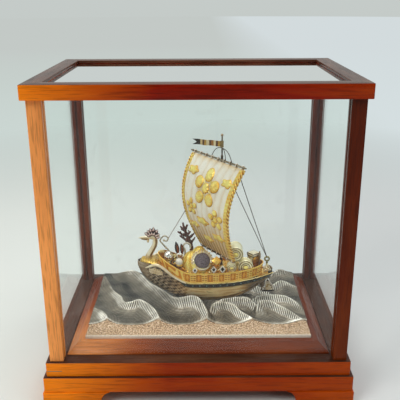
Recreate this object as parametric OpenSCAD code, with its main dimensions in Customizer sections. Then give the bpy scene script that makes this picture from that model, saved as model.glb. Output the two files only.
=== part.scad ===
// Model sailing ship on a metal sea, in a wooden case with a lift-off glass cover
// Millimetres: X runs from the bow to the stern, Y away from the viewer, Z up from the table

/* [Case] */
// Width over the top frame
case_w = 300; // [296:1:312]
// Depth over the top frame
case_d = 201; // [198:1:212]
// Height from the table to the top of the case
case_h = 316; // [305:1:340]
// Height of the top frame
top_h = 13.4; // [12:0.2:16]
// Width of a top rail
rail_w = 16.7; // [15:0.1:18]
// Side of a square corner post
post_s = 13.3; // [12.5:0.1:13.6]
// Step from the edge of the top frame to a post
post_in = 4.2; // [3.5:0.1:4.5]
// Thickness of the glass
glass_t = 2; // [1.5:0.1:3]

/* [Base] */
// Height of the bracket feet
foot_h = 14; // [10:0.5:20]
// Length of a foot along the front
foot_l = 66; // [50:1:80]
// Height of the lower plinth
plinth_h = 16.4; // [14:0.2:20]
// Reach of the lower plinth beyond the top frame
plinth_out = 2.5; // [1:0.5:4]
// Height of the cover's bottom frame
sill_h = 15.1; // [12:0.1:18]
// Rise of the platform above the bottom frame
platform_h = 8.5; // [6:0.5:12]
// Width of the platform at its foot
platform_w = 262; // [258:1:262]
// Depth of the platform at its foot
platform_d = 170; // [166:1:170]
// Width of the platform's bevel in plan
bevel = 9.5; // [7:0.5:11]

/* [Sea] */
// Width of the sand board
board_w = 230; // [226:1:236]
// Depth of the sand board
board_d = 138; // [134:1:144]
// Thickness of the sand board
board_t = 3; // [2:0.5:4]
// Height of the wave crests above their hollows
wave_h = 9.5; // [7:0.5:10]
// Spacing of the crests along the front edge
wave_l = 52; // [49:1:55]

/* [Ship] */
// Beam of the hull
beam_w = 39; // [36:1:41]
// Height of the bulwark
bulwark_h = 12; // [10:0.5:13]
// Height of the mast's top above the sand
mast_h = 192; // [186:1:200]
// Length of the yard
yard_l = 95.5; // [92:0.5:104]
// Turn of the yards from the ship's length
brace = 55; // [45:1:70]
// Depth of the sail's belly
belly = 18; // [8:1:22]
// Length of the pennant
pennant_l = 33; // [24:1:40]
// Size of the cargo bales
bale_r = 8; // [6.5:0.1:8.2]

/* [Hidden] */
$fn = 32;

// Clearance of glass in its grooves
gap = 0.1;
// Depth of the grooves
groove = 4;
// Bolts that hold the ship down
bolt_x = [-12, 34];
bolt_r = 2;

// Heights from the table up
z_plinth = foot_h + plinth_h;
z_sill = z_plinth + sill_h;
z_platform = z_sill + platform_h;
z_sea = z_platform + board_t;
z_top = case_h - top_h;

// Plans of the frames: outer and inner sizes
top_out = [case_w, case_d];
top_in = [case_w - 2 * rail_w, case_d - 2 * rail_w];
plinth_outer = [case_w + 2 * plinth_out, case_d + 2 * plinth_out];
plinth_in = plinth_outer - [44, 44];
sill_out = [case_w - 1, case_d - 1];
platform = [platform_w, platform_d];
sill_in = platform + [2, 2];
post_x = case_w / 2 - post_in - post_s / 2;
post_y = case_d / 2 - post_in - post_s / 2;
foot_out = 1.2;

// Hull: the ends, the lowest point and the heights above the sand
bow_x = -66;
mid_x = 10;
stern_x = 82;
keel_z = 5;
sheer_z = 34;
hull_t = 1;
hull_fine = 2.3;
mast_x = 25.5;
yard_z = 167;
foot_z = 60;
rudder_x = 71;
rudder_z = 21.6;

// Directions along the yards and ahead of the sail
along = [cos(brace), -sin(brace), 0];
ahead = [-sin(brace), -cos(brace), 0];

function unit(v) = v / norm(v);
function clip(v) = min(1, max(0, v));
function smooth(v) = let (c = clip(v)) c * c * (3 - 2 * c);
function mix(a, b, t) = a + (b - a) * t;

// Hull lines by station
function fore(x) = (mid_x - x) / (mid_x - bow_x);
function aft(x) = (x - mid_x) / (stern_x - mid_x);
function keel(x) = keel_z + (x < mid_x
    ? 45 * (1 - pow(1 - pow(min(fore(x), 0.996), 1.7), 0.55))
    : 33 * pow(aft(x), 2.5));
function sheer(x) = sheer_z + (x < mid_x ? 19.5 * smooth((-7 - x) / 42) : 7 * pow(aft(x), 2));
function half_beam(x) = beam_w / 2 * (x < mid_x
    ? pow(1 - pow(min(fore(x), 0.985), 2.6), 0.6)
    : 1 - 0.68 * pow(aft(x), 2.4));
function half_at(x, z) = half_beam(x) * pow(clip((z - keel(x)) / (sheer(x) - keel(x))), 1 / hull_fine);
function hull_z(x, s) = mix(keel(x), sheer(x), pow(abs(s), hull_fine));
stations = concat(
    [for (i = [14 : -1 : 1]) mid_x - (mid_x - bow_x) * sin(90 * i / 14)],
    [for (i = [0 : 14]) mid_x + (stern_x - mid_x) * i / 14]);

// Crest lines of the sea from left to right: x, y and height of each point
crest_lines = [
    [[-114, -16, 3.5], [-105, -26, 6], [-99, -36, 6], [-96.5, -43, 4]],
    [[-113, 58, 2], [-100, 25, 4], [-92, 12, 5], [-87, 4, 5.5], [-82, -10, 6.5], [-75, -13.5, 8],
        [-65, -11, 9.5], [-53, -21, 9], [-45, -33, 7], [-41, -44, 4]],
    [[-92, 68, 3], [-80, 66, 6], [-70, 57, 6], [-58, 38, 5], [-48, 24, 7], [-38, 11, 8], [-28, -4, 9],
        [-18, -14, 14], [-8, -16.5, 17], [0, -18.5, 16], [6, -25, 11], [9.5, -35, 7], [9, -43, 4]],
    [[12.5, -33, 3], [15.6, -20, 8], [24, -16.5, 9.5], [33, -19, 9.5], [40, -24.5, 9], [46, -34, 7],
        [55, -42, 5], [60, -46, 2.5]],
    [[63, -27, 3], [67, -13.5, 8], [78.8, -14.5, 9.5], [86.8, -23.6, 9], [96, -32, 8], [105.5, -39, 6],
        [112, -44, 3]],
    [[20, -14, 6], [28, -12.5, 11], [41, -11, 12.5], [54, -10, 11], [60, -14, 8], [66, -20, 4]],
    [[64, -1, 5], [67, 1, 7], [80.6, 2.3, 8], [93.5, 0.3, 8], [107.5, -6, 7], [113, -17, 5]],
    [[84, 28, 4], [94, 35, 7], [104, 36.5, 7.5], [114, 31, 6]],
    [[88, 56, 3], [92, 62, 5], [100, 66.5, 7], [110, 66, 6], [115, 60, 4]],
    [[-24, 68, 4], [-8, 52, 6], [6, 36, 7], [14, 26, 9], [26, 21, 10], [38, 22, 9], [48, 30, 5]],
    [[30, 68, 4], [44, 50, 6], [56, 36, 7], [66, 24, 8], [78, 16, 6]]
];

// Rise of one stretch of a crest line at a place, steeper behind the line than in front
function crest_at(x, y, a, b) =
    let (v = [b[0] - a[0], b[1] - a[1]], w = [x - a[0], y - a[1]], t = clip(w * v / (v * v)),
        e = w - t * v, d = norm(e), behind = v[0] * e[1] - v[1] * e[0] >= 0)
    mix(a[2], b[2], t) * (behind ? pow(clip(1 - d / 14), 2) : pow(clip(1 - d / 21), 2.3));

// Height of the sea above the sand board, with a hollow for the hull
function front_edge(x) = -48.5 + 6.5 * pow(1 - abs(sin(180 * (x + 43.5) / wave_l)), 1.1);
function bed(x, y) = 10 * smooth((x + 36) / 10) * smooth((68 - x) / 10)
    * (1 - smooth((abs(y) - half_at(x, 12)) / 10));
function wave(x, y) = let (u = (x + 43.5) * 52 / wave_l - 43.5, ends = mix(0.25, 1, smooth((115 - abs(x)) / 20)))
    1.2 + 2.2 * smooth((y - 12) / 50) + 1.2 * (1 - ends) + max(bed(x, y), ends * wave_h / 9.5 * max(
        [for (c = crest_lines, i = [0 : len(c) - 2]) crest_at(u, y, c[i], c[i + 1])]));
function hull_over(x, y) = x <= bow_x || x >= stern_x || abs(y) >= half_beam(x)
    ? 99 : hull_z(x, y / half_beam(x));
function sea(x, y) = max(1, min(wave(x, y), hull_over(x, y) - 1.2, hull_over(x, abs(y) - 2) - 1.2));

// Points of the sail, by the distance along the yard and the height
sail_top = yard_z - 1.6;
sail_foot = foot_z + 1.5;
function drop(z) = clip((sail_top - z) / (sail_top - sail_foot));
function sail_edge(side, z) = side < 0 ? mix(-47, -33, drop(z)) : mix(40, 25, drop(z));
function sail_depth(a, z) = 2.6 + (belly + 3 * (1 - pow(a / 50, 2)) - 0.055 * (a + 42))
    * sin(180 * pow(drop(z), 0.85));
function sail_point(a, z, lift) = [mast_x, 0, z] + along * a + ahead * (sail_depth(a, z) + lift);

// Solid through a row of rings with the same number of points
module loft(rings, loop = false) {
    n = len(rings[0]);
    m = len(rings);
    spans = loop ? m : m - 1;
    sides = [for (i = [0 : spans - 1], k = [0 : n - 1])
        let (a = i * n + k, b = i * n + (k + 1) % n,
            c = ((i + 1) % m) * n + k, d = ((i + 1) % m) * n + (k + 1) % n)
        each [[a, b, c], [b, d, c]]];
    caps = loop ? [] : [[for (k = [n - 1 : -1 : 0]) k], [for (k = [0 : n - 1]) (m - 1) * n + k]];
    polyhedron([for (r = rings) each r], concat(sides, caps), convexity = 8);
}

// Round wire or limb along a path, with a radius at each point
module limb(path, radii, n = 8, up = [0, 1, 0]) {
    last = len(path) - 1;
    loft([for (i = [0 : last])
        let (t = unit(path[min(i + 1, last)] - path[max(i - 1, 0)]),
            s = unit(cross(t, up)), w = cross(s, t))
        [for (k = [0 : n - 1]) path[i] + radii[i] * (cos(360 * k / n) * s + sin(360 * k / n) * w)]]);
}

// Straight round rod between two points
module rod(p, q, r1, r2) {
    v = q - p;
    translate(p)
        rotate([0, acos(v.z / norm(v)), atan2(v.y, v.x)])
            cylinder(h = norm(v), r1 = r1, r2 = r2, $fn = 16);
}

// One mitred rail of a rectangular frame, with a hair of room at its joints
module frame_rail(side, outer, inner, h) {
    o = outer / 2;
    i = inner / 2;
    front = [[0.1 - o.x, -o.y], [o.x - 0.1, -o.y], [i.x - 0.1, -i.y], [0.1 - i.x, -i.y]];
    left = [[-o.x, o.y], [-o.x, -o.y], [-i.x, -i.y], [-i.x, i.y]];
    flip = side == "back" ? [0, 1, 0] : side == "right" ? [1, 0, 0] : [0, 0, 0];
    mirror(flip)
        linear_extrude(h)
            polygon(side == "front" || side == "back" ? front : left);
}

// Places a part above the sand
module afloat() {
    translate([0, 0, z_sea]) children();
}

// Bracket feet
function wing(l) = concat([[0, 0]],
    [for (t = [0 : 10 : 90]) [l - 9.5 * cos(t), foot_h * sin(t)]], [[0, foot_h]]);
module foot(sx, sy) {
    mirror([sx > 0 ? 1 : 0, 0, 0]) mirror([0, sy > 0 ? 1 : 0, 0])
        translate([-plinth_outer.x / 2 - foot_out, -plinth_outer.y / 2 - foot_out, 0])
            color("Sienna") {
                translate([0, 16, 0]) rotate([90, 0, 0]) linear_extrude(16) polygon(wing(foot_l));
                rotate([90, 0, 90]) linear_extrude(16) polygon(wing(foot_l * 0.76));
            }
}

// Lower plinth and the boards of the base
module lower_plinth() {
    color("Sienna") translate([0, 0, foot_h])
        for (side = ["front", "back", "left", "right"])
            frame_rail(side, plinth_outer, plinth_in, plinth_h);
}

module bolt_holes(z, h) {
    for (x = bolt_x) translate([x, 0, z - 1]) cylinder(h = h + 2, r = bolt_r + 0.2);
}

module base_panel() {
    color("Tan") difference() {
        translate([-plinth_in.x / 2, -plinth_in.y / 2, z_plinth - 9])
            cube([plinth_in.x, plinth_in.y, 9]);
        bolt_holes(z_plinth - 9, 9);
    }
}

// Section of the platform's moulding, out from its inner edge
function platform_section(half) = [
    [half - 24, z_plinth], [half, z_plinth], [half, z_sill + 0.5], [half - bevel, z_platform],
    [half - 18, z_platform], [half - 18, z_platform - 6], [half - 24, z_platform - 6]];

module platform_moulding() {
    color("Sienna") for (side = ["front", "back", "left", "right"])
        intersection() {
            translate([0, 0, z_plinth]) frame_rail(side, platform, platform - [48, 48], case_h);
            if (side == "front" || side == "back") {
                rotate([0, 0, side == "front" ? 180 : 0]) rotate([90, 0, 90])
                    linear_extrude(platform.x, center = true) polygon(platform_section(platform.y / 2));
            } else {
                rotate([0, 0, side == "left" ? 90 : -90]) rotate([90, 0, 90])
                    linear_extrude(platform.y, center = true) polygon(platform_section(platform.x / 2));
            }
        }
}

module platform_panel() {
    color("Sienna") difference() {
        translate([18 - platform.x / 2, 18 - platform.y / 2, z_platform - 6])
            cube([platform.x - 36, platform.y - 36, 6]);
        bolt_holes(z_platform - 6, 6);
    }
}

module sand_board() {
    color("Wheat") difference() {
        translate([-board_w / 2, -board_d / 2, z_platform]) cube([board_w, board_d, board_t]);
        bolt_holes(z_platform, board_t);
    }
}

// Cast sea: one closed height field with a scalloped front edge
module wave_casting() {
    nx = 58;
    ny = 34;
    xs = [for (i = [0 : nx]) board_w * (i / nx - 0.5)];
    top = [for (x = xs, j = [0 : ny])
        let (y = mix(front_edge(x), board_d / 2, j / ny)) [x, y, sea(x, y)]];
    m = ny + 1;
    foot = len(top);
    base = [for (x = xs, y = [front_edge(x), board_d / 2]) [x, y, 0]];
    skin = [for (i = [0 : nx - 1], j = [0 : ny - 1])
        let (a = i * m + j, b = a + 1, c = a + m, d = c + 1) each [[a, b, c], [b, d, c]]];
    under = [for (i = [0 : nx - 1])
        let (a = i * m, b = a + m, c = a + ny, d = b + ny,
            e = foot + 2 * i, f = e + 1, g = e + 2, h = e + 3)
        each [[e, g, f], [g, h, f], [a, b, e], [b, g, e], [c, f, d], [d, f, h]]];
    ends = [concat([for (j = [ny : -1 : 0]) j], [foot, foot + 1]),
        concat([for (j = [0 : ny]) nx * m + j], [foot + 2 * nx + 1, foot + 2 * nx])];
    color("Silver") afloat() polyhedron(concat(top, base), concat(skin, under, ends), convexity = 10);
}

// Bolts from the underside into the hull
module ship_bolts() {
    color("DimGray") for (x = bolt_x) translate([x, 0, 0]) {
        translate([0, 0, z_plinth - 13]) cylinder(h = 4, r = 4.5);
        translate([0, 0, z_plinth - 9]) cylinder(h = z_sea - z_plinth + 9, r = bolt_r);
        translate([0, 0, z_sea]) cylinder(h = keel(x) + 1.6, r = 3.4);
    }
}

// Cover: bottom frame, posts, top frame and glass
module sill(side) {
    color("Sienna") translate([0, 0, z_plinth]) frame_rail(side, sill_out, sill_in, sill_h);
}

module pane_x(sy, slack) {
    w = 2 * (post_x - post_s / 2 + groove + slack);
    t = glass_t + 2 * slack;
    translate([-w / 2, sy * post_y - t / 2, z_sill]) cube([w, t, z_top - z_sill]);
}

module pane_y(sx, slack) {
    d = 2 * (post_y - post_s / 2 + groove + slack);
    t = glass_t + 2 * slack;
    translate([sx * post_x - t / 2, -d / 2, z_sill]) cube([t, d, z_top - z_sill]);
}

module pane_top(slack) {
    reach = 2 * groove - 1 + 2 * slack;
    size = [top_in.x + reach, top_in.y + reach, glass_t + 2 * slack];
    translate([-size.x / 2, -size.y / 2, case_h - 3.4 - glass_t - slack]) cube(size);
}

module post(sx, sy) {
    color("Sienna") difference() {
        translate([sx * post_x - post_s / 2, sy * post_y - post_s / 2, z_sill])
            cube([post_s, post_s, z_top - z_sill]);
        pane_x(sy, gap);
        pane_y(sx, gap);
    }
}

module top_rail(side) {
    color("Sienna") difference() {
        translate([0, 0, z_top]) frame_rail(side, top_out, top_in, top_h);
        pane_top(gap);
    }
}

module glass_pane(side) {
    color("LightCyan", 0.3) {
        if (side == "front") pane_x(-1, 0);
        if (side == "back") pane_x(1, 0);
        if (side == "left") pane_y(-1, 0);
        if (side == "right") pane_y(1, 0);
        if (side == "top") pane_top(0);
    }
}

// Hull, deck and the band around the gunwale
hull_steps = [1, 0.93, 0.8, 0.62, 0.4, 0.18, 0, -0.18, -0.4, -0.62, -0.8, -0.93, -1];
module hull_shell() {
    color("Gold") afloat() loft([for (x = stations) concat(
        [for (s = hull_steps) [x, half_beam(x) * s, hull_z(x, s)]],
        [for (i = [len(hull_steps) - 1 : -1 : 0])
            let (s = hull_steps[i], b = max(half_beam(x) - hull_t, 0.3))
            [x, b * s, min(hull_z(x, s) + hull_t * (1 - pow(s, 4)), sheer(x))]])]);
}

function deck_half(x) = max(half_at(x, sheer(x) - 1.7) - hull_t - 0.5, 0.4);
module deck_plate() {
    color("Goldenrod") afloat() loft([for (x = stations) if (x > -61 && x < 79)
        let (w = deck_half(x), z = sheer(x) - 0.4)
        [[x, w, z], [x, w, z - 1.2], [x, -w, z - 1.2], [x, -w, z]]]);
}

band_x = [for (x = stations) if (x > -22) x];
module gunwale_band() {
    color("#222018") afloat() for (side = [1, -1])
        loft([for (x = band_x)
            let (z = sheer(x) - 0.2, w = min(5.4, sheer(x) - keel(x) - 1.5) * smooth((x + 26) / 12),
                inner = [x, side * (half_beam(x) + 0.12), z],
                low = [x, side * (half_at(x, z - w) + 0.62), z - w], out = [0, side * 0.9, 0])
            side > 0 ? [inner, inner + out, low + out, low] : [inner, low, low + out, inner + out]]);
}

stud_x = [for (x = [-13 : 7.4 : 78]) x];
module band_studs() {
    color("PaleTurquoise") afloat() for (x = stud_x, side = [1, -1])
        translate([x, side * (half_at(x, sheer(x) - 2.8) + 0.8), sheer(x) - 2.8])
            rotate([side * -90, 0, 0]) cylinder(h = 1.1, r1 = 0.8, r2 = 0.5, $fn = 16);
}

// Bulwark: an oval wall on the deck, closed at both ends
bulwark_mid = 14;
bulwark_half = 56;
function bulwark_top(x) = sheer(x) + bulwark_h * mix(1, 0.86, smooth((-15 - x) / 25));
function oval(t) = let (c = cos(t), x = bulwark_mid - bulwark_half * c)
    [x, (half_beam(x) - 0.7) * sqrt(1 - pow(c, 8)) * (t > 180 ? 1 : -1)];
module bulwark() {
    color("Gold") afloat() loft([for (t = [3 : 6 : 357])
        let (p = oval(t), q = oval(t + 0.5), r = oval(t - 0.5), v = unit([q.y - r.y, r.x - q.x]),
            lean = 1.6, z = sheer(p.x) + 0.15, h = bulwark_top(p.x))
        [[p.x, p.y, z], [p.x + v.x * lean, p.y + v.y * lean, h],
            [p.x + v.x * (lean - 0.9), p.y + v.y * (lean - 0.9), h],
            [p.x - v.x * 0.9, p.y - v.y * 0.9, z]]],
        loop = true);
}

// Silver trim that sweeps from the breast along both bows
module bow_trim() {
    xs = [for (i = [0 : 12]) -55 + i * 3.2];
    color("Silver") afloat() for (side = [1, -1])
        limb([for (x = xs) let (z = sheer(x) - 2)
            [x, side * (half_at(x, z) + 0.9), z]],
            [for (i = [0 : 12]) mix(1.7, 0.8, i / 12)], 8, [0, 0, 1]);
}

// Figurehead: collar, neck, head and crest
module neck_collar() {
    color("Gold") afloat() translate([-54, 0, sheer(-54)]) {
        rotate_extrude() polygon([[4.9, -0.9], [7.2, -0.9], [7, 0.3], [5.6, 1], [4.9, 0.8]]);
        for (a = [0 : 30 : 330]) rotate([0, 0, a]) translate([6.1, 0, 0])
            rotate([0, 28, 0]) cylinder(h = 3.4, r1 = 1.1, r2 = 0.15, $fn = 16);
    }
}

module figurehead_neck() {
    color("Silver") afloat() limb(
        [[-54, 0, 52.4], [-53.9, 0, 56], [-52.4, 0, 61], [-49.6, 0, 66], [-47.2, 0, 70.6], [-46.4, 0, 74.4],
            [-46.4, 0, 78.5]], [4.5, 3.9, 3.2, 2.9, 2.7, 2.6, 2.4], 12);
}

module figurehead_head() {
    color("Silver") afloat() {
        limb([[-42.4, 0, 79.6], [-44.4, 0, 80.4], [-47, 0, 81], [-50, 0, 81.2], [-54, 0, 81], [-58, 0, 80.6],
            [-62, 0, 80.2], [-65.4, 0, 79.2]], [1, 2.6, 3.3, 3.6, 3.1, 2.1, 1.3, 0.3], 12);
        limb([[-52.5, 0, 77.8], [-56.5, 0, 76.2], [-60.5, 0, 76]], [1.5, 1.2, 0.3], 8);
    }
}

module figurehead_crest() {
    color("RosyBrown") afloat() translate([-48.8, 0, 77.6]) {
        for (a = [-60 : 24 : 60]) rotate([0, a, 0]) translate([0, 0, 6.4])
            cylinder(h = 8.4 - abs(a) / 15, r1 = 1.28, r2 = 0.3, $fn = 16);
        for (a = [-42 : 28 : 42], side = [-34, 34]) rotate([side, a, 0]) translate([0, 0, 6.4])
            cylinder(h = 6.8 - abs(a) / 15, r1 = 1.22, r2 = 0.3, $fn = 16);
    }
}

// Curled hook that takes the fore sheet
module bow_scroll() {
    color("Silver") afloat() limb(
        [[-30, 0, 46], [-30.6, 0, 62], [-35, 0, 68], [-40.5, 0, 75], [-40.6, 0, 77.4], [-37.6, 0, 81],
            [-35, 0, 81.4], [-32.6, 0, 79.4], [-32.6, 0, 77], [-34.4, 0, 75.4], [-36.8, 0, 76.4]],
        [for (i = [0 : 10]) 0.65], 8);
}

// Post, ring, panel and curl at the stern
module stern_fittings() {
    color("DarkGoldenrod") afloat() {
        translate([75.6, 0, sheer(75.6) - 1]) cylinder(h = 11, r = 1.1);
        translate([75.6, 0, 54]) rotate([90, 0, 0]) rotate_extrude() translate([2.4, 0]) circle(r = 0.9);
        translate([0, 2, 0]) rotate([90, 0, 0]) linear_extrude(4)
            polygon([[71.8, sheer(71.8)], [80.6, sheer(80.6)], [78.6, 45], [76.6, 47.6], [71.8, 43.4]]);
        limb([[76.8, 0, 46.2], [78.9, 0, 45.4], [80.4, 0, 43.9], [80.9, 0, 42.7]], [0.8, 0.9, 0.9, 0.7], 8);
        translate([67.4, 0, sheer(67.4) - 1]) cylinder(h = 26, r = 1.1);
    }
}

// Rudder on an upright stock in its bearing
module rudder_bearing() {
    color("DimGray") afloat() translate([rudder_x, 0, rudder_z]) difference() {
        cylinder(h = 7, r = 2.3);
        translate([0, 0, -1]) cylinder(h = 4.6, r = 1.3);
    }
}

module rudder_stock() {
    color("DimGray") afloat() translate([rudder_x, 0, rudder_z]) {
        translate([0, 0, -6]) cylinder(h = 9.2, r = 1);
        translate([0, 0, -1.2]) cylinder(h = 0.8, r = 1.9);
    }
}

module rudder_blade() {
    color("Tan") afloat() translate([0, 0.9, 0]) rotate([90, 0, 0]) linear_extrude(1.8)
        difference() {
            polygon([[rudder_x + 0.6, 15], [84.4, 15], [82.6, 22.6], [80.2, 25.2], [78.2, 29.2], [77, 30.4],
                [75.4, 29.2], [74.2, 26.4], [74.2, 20.2], [rudder_x + 0.6, 20.2]]);
            translate([76.9, 28]) circle(r = 1);
        }
}

// Mast with its ball, and the two yards
module mast() {
    color("#3a2c22") afloat() translate([mast_x, 0, 0]) {
        translate([0, 0, sheer(mast_x) - 1]) cylinder(h = yard_z + 4 - sheer(mast_x) + 1, r = 1.3);
        translate([0, 0, yard_z + 4]) cylinder(h = mast_h - yard_z - 4, r = 0.75);
        translate([0, 0, mast_h + 0.6]) sphere(r = 1.4);
    }
}

module spar(a1, a2, z, r) {
    base = [mast_x, 0, z] + ahead * (1.3 + r + 0.1);
    color("#3a2c22") afloat() rod(base + along * a1, base + along * a2, r, r);
}

module yard() {
    spar(-5 - yard_l / 2, -5 + yard_l / 2, yard_z, 1.1);
}

module lower_yard() {
    spar(-35, 27, foot_z, 1.1);
}

// Stamped sail, its rope edges and the raised pattern on its face
module sail() {
    cols = 12;
    rows = 16;
    color("Gainsboro") afloat() loft([for (j = [0 : rows])
        let (z = mix(sail_top, sail_foot, j / rows), a = sail_edge(-1, z), b = sail_edge(1, z))
        concat([for (i = [0 : cols]) sail_point(mix(a, b, i / cols), z, 0.35)],
            [for (i = [cols : -1 : 0]) sail_point(mix(a, b, i / cols), z, -0.35)])]);
}

module sail_borders() {
    color("Goldenrod") afloat() for (side = [-1, 1])
        limb([for (j = [0 : 16]) let (z = mix(sail_top - 0.6, sail_foot + 0.6, j / 16))
            sail_point(sail_edge(side, z) + side * 1, z, 0)],
            [for (j = [0 : 16]) side > 0 ? 1.6 : 1.2], 8, along);
}

// Raised plate on the sail, from an outline around its middle
module relief(a, z, outline) {
    n = len(outline);
    face = [for (p = outline) sail_point(a + p.x, z + p.y, 1.1)];
    back = [for (p = outline) sail_point(a + p.x, z + p.y, 0.2)];
    points = concat(face, back, [sail_point(a, z, 1.1), sail_point(a, z, 0.2)]);
    polyhedron(points, [for (k = [0 : n - 1]) let (l = (k + 1) % n)
        each [[2 * n, l, k], [2 * n + 1, n + k, n + l], [k, l, n + l], [k, n + l, n + k]]], convexity = 4);
}

function disc(r) = [for (t = [0 : 18 : 342]) r * [cos(t), sin(t)]];
function petal(a, w) = [for (t = [0 : 24 : 336])
    let (p = [w * cos(t), 0.95 * w * sin(t)]) [p.x * cos(a) - p.y * sin(a), p.x * sin(a) + p.y * cos(a)]];
function cloud(w, h) = [for (t = [0 : 12 : 348]) (1 + 0.16 * cos(5 * t)) * [w * cos(t), h * sin(t)]];
module blossom(a, z, k) {
    relief(a, z, disc(4.4 * k));
    for (t = [90 : 72 : 378])
        relief(a + 10.6 * k * cos(t), z + 10.6 * k * sin(t), petal(t, 5.4 * k));
}

module sail_motif() {
    color("Gold") afloat() {
        for (b = [[-3, 138, 1.25], [15, 108, 0.7], [-25, 113, 0.6]]) blossom(b[0], b[1], b[2]);
        for (c = [[26, 149, 8, 4.2], [-32, 151, 8.5, 4.2], [-8, 100, 10, 4.6], [-25.5, 91, 7.5, 3.8],
            [13, 86, 9.5, 4.4], [-8, 78, 8.5, 4]])
            relief(c[0], c[1], cloud(c[2], c[3]));
    }
}

// Lashings of the sail to both yards
module lashings() {
    color("#4a3626") afloat() for (set = [[yard_z, -44, 38, 8], [foot_z, -31, 23, 6]], i = [0 : set[3]])
        translate([mast_x, 0, set[0]] + ahead * 2.5 + along * mix(set[1], set[2], i / set[3]))
            rotate([0, 0, -brace]) rotate([0, 90, 0])
                rotate_extrude($fn = 16) translate([1.6, 0]) circle(r = 0.45);
}

// Lifts, stays and sheets of taut wire
module rigging_wires() {
    head = [mast_x, 0, yard_z + 12];
    ring = [75, 0, 55.6];
    color("DimGray") afloat() {
        for (a = [-15, 9.5, 20]) let (end = [mast_x, 0, yard_z + 0.8] + along * a + ahead * 2.5)
            limb([for (t = [0 : 0.125 : 1])
                mix(head, end, t) + ([0, 0, 3.2] + along * a * 0.08) * sin(180 * t)],
                [for (t = [0 : 8]) 0.4], 8, ahead);
        rod([mast_x, 0, yard_z - 3], ring + [0.4, 0.9, 0], 0.4, 0.4);
        rod([mast_x, 0, yard_z] + along * 26 + ahead * 2.2, ring + [0.6, -0.9, 0], 0.4, 0.4);
        rod(sail_point(sail_edge(-1, 104) - 0.6, 104, 0), [-33.4, 0, 76.6], 0.4, 0.4);
    }
}

// Pennant on a sleeve that turns on the mast
module pennant() {
    l = pennant_l;
    color("Peru") afloat() translate([mast_x, 0, yard_z + 13]) {
        difference() {
            cylinder(h = 6.4, r = 1.7);
            translate([0, 0, -1]) cylinder(h = 9, r = 1.05);
        }
        rotate([0, 0, 156.6]) translate([0, 0.3, 0.3]) rotate([90, 0, 0]) linear_extrude(0.6)
            polygon([[1.5, 0], [l, 0], [l - 5, 2.9], [l, 5.8], [1.5, 5.8]]);
    }
}

// Cargo: heap, sack, bales, chest, jewels, ornaments and coral
function heap_half(x) = (half_beam(x) - 3.2) * sqrt(1 - pow(abs((x - 13) / 53), 6));
module treasure_heap() {
    color("Gold") afloat() loft([for (i = [0 : 24])
        let (x = 13 - 52 * cos(7.5 * i), w = max(heap_half(x), 0.6), z = sheer(x) + 0.1,
            h = 0.4 + (12.4 + 3.5 * smooth((-5 - x) / 20)) * pow(1 - pow(abs((x - 13) / 53), 4), 0.6))
        concat([[x, w, z]], [[x, -w, z]],
            [for (s = [-0.95, -0.7, -0.35, 0, 0.35, 0.7, 0.95])
                [x, w * s, z + h * (1 - 0.2 * s * s)]])]);
}

module treasure_sack() {
    color("Gold") afloat() union() {
        translate([1.5, -1.5, 44.5]) rotate_extrude()
            polygon([[0, 0], [14.5, 0], [14.8, 2], [14.3, 7], [12.2, 12], [9.4, 17], [6.2, 21.5],
                [3.2, 24.5], [0, 25.5]]);
        translate([-6.5, -3, 44.5]) rotate_extrude()
            polygon([[0, 0.2], [11.2, 0.2], [11.4, 2], [11, 7], [9.8, 11.2], [7.6, 16], [4.5, 19], [0, 20.5]]);
    }
}

module sack_boss() {
    color("#4d4248") afloat() translate([4.6, -11.5, 57.3]) rotate([62, 0, 10]) rotate_extrude()
        polygon([[0, -1.5], [8.2, -1.5], [8.6, -0.8], [8, 1], [5.6, 3], [3, 4.1], [0, 4.5]]);
}

module bale(l, r) {
    translate([0, l / 2, 0]) rotate([90, 0, 0]) rotate_extrude()
        polygon([[0, 0.8], [r * 0.3, 0.8], [r * 0.4, 0], [r * 0.86, 0], [r, 1.2], [r * 0.93, 2.2],
            [r * 0.93, l * 0.42], [r, l * 0.46], [r, l * 0.54], [r * 0.93, l * 0.58],
            [r * 0.93, l - 2.2], [r, l - 1.2], [r * 0.86, l],
            [r * 0.4, l], [r * 0.3, l - 0.8], [0, l - 0.8]]);
}

module cargo_bales() {
    color("Khaki") afloat() {
        translate([40.6, 0, 63]) bale(19, bale_r - 0.3);
        translate([51.4, -8.4, 49.6]) bale(10, bale_r);
        translate([36.4, -9, 48.6]) bale(9, bale_r * 0.62);
    }
}

module treasure_chest() {
    color("DarkGoldenrod") afloat() translate([60, -3, 41]) rotate([0, 0, 37]) {
        cube([9.6, 9, 16]);
        translate([-0.5, -0.5, 16.2]) cube([10.6, 10, 2.8]);
    }
}

module jewels() {
    color("White") afloat() {
        translate([-32, -7, 61.6]) sphere(r = 4.3);
        translate([-20.4, -10.4, 55.6]) sphere(r = 4);
        translate([20, -9, 55]) rotate([50, 0, 0]) rotate([0, 0, 45])
            translate([-3.8, -3.8, -4]) cube([7.6, 7.6, 8]);
        rod([20, -9, 44], [20, -9, 51], 2.4, 2.4);
        for (p = [[26.4, -15, 48.2, 2.6], [16.6, -15.2, 47.4, 2.3]])
            translate([p[0], p[1], p[2]]) rotate([68, 0, 0])
                rotate_extrude($fn = 4) translate([p[3], 0]) circle(r = 0.8, $fn = 16);
    }
}

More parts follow.
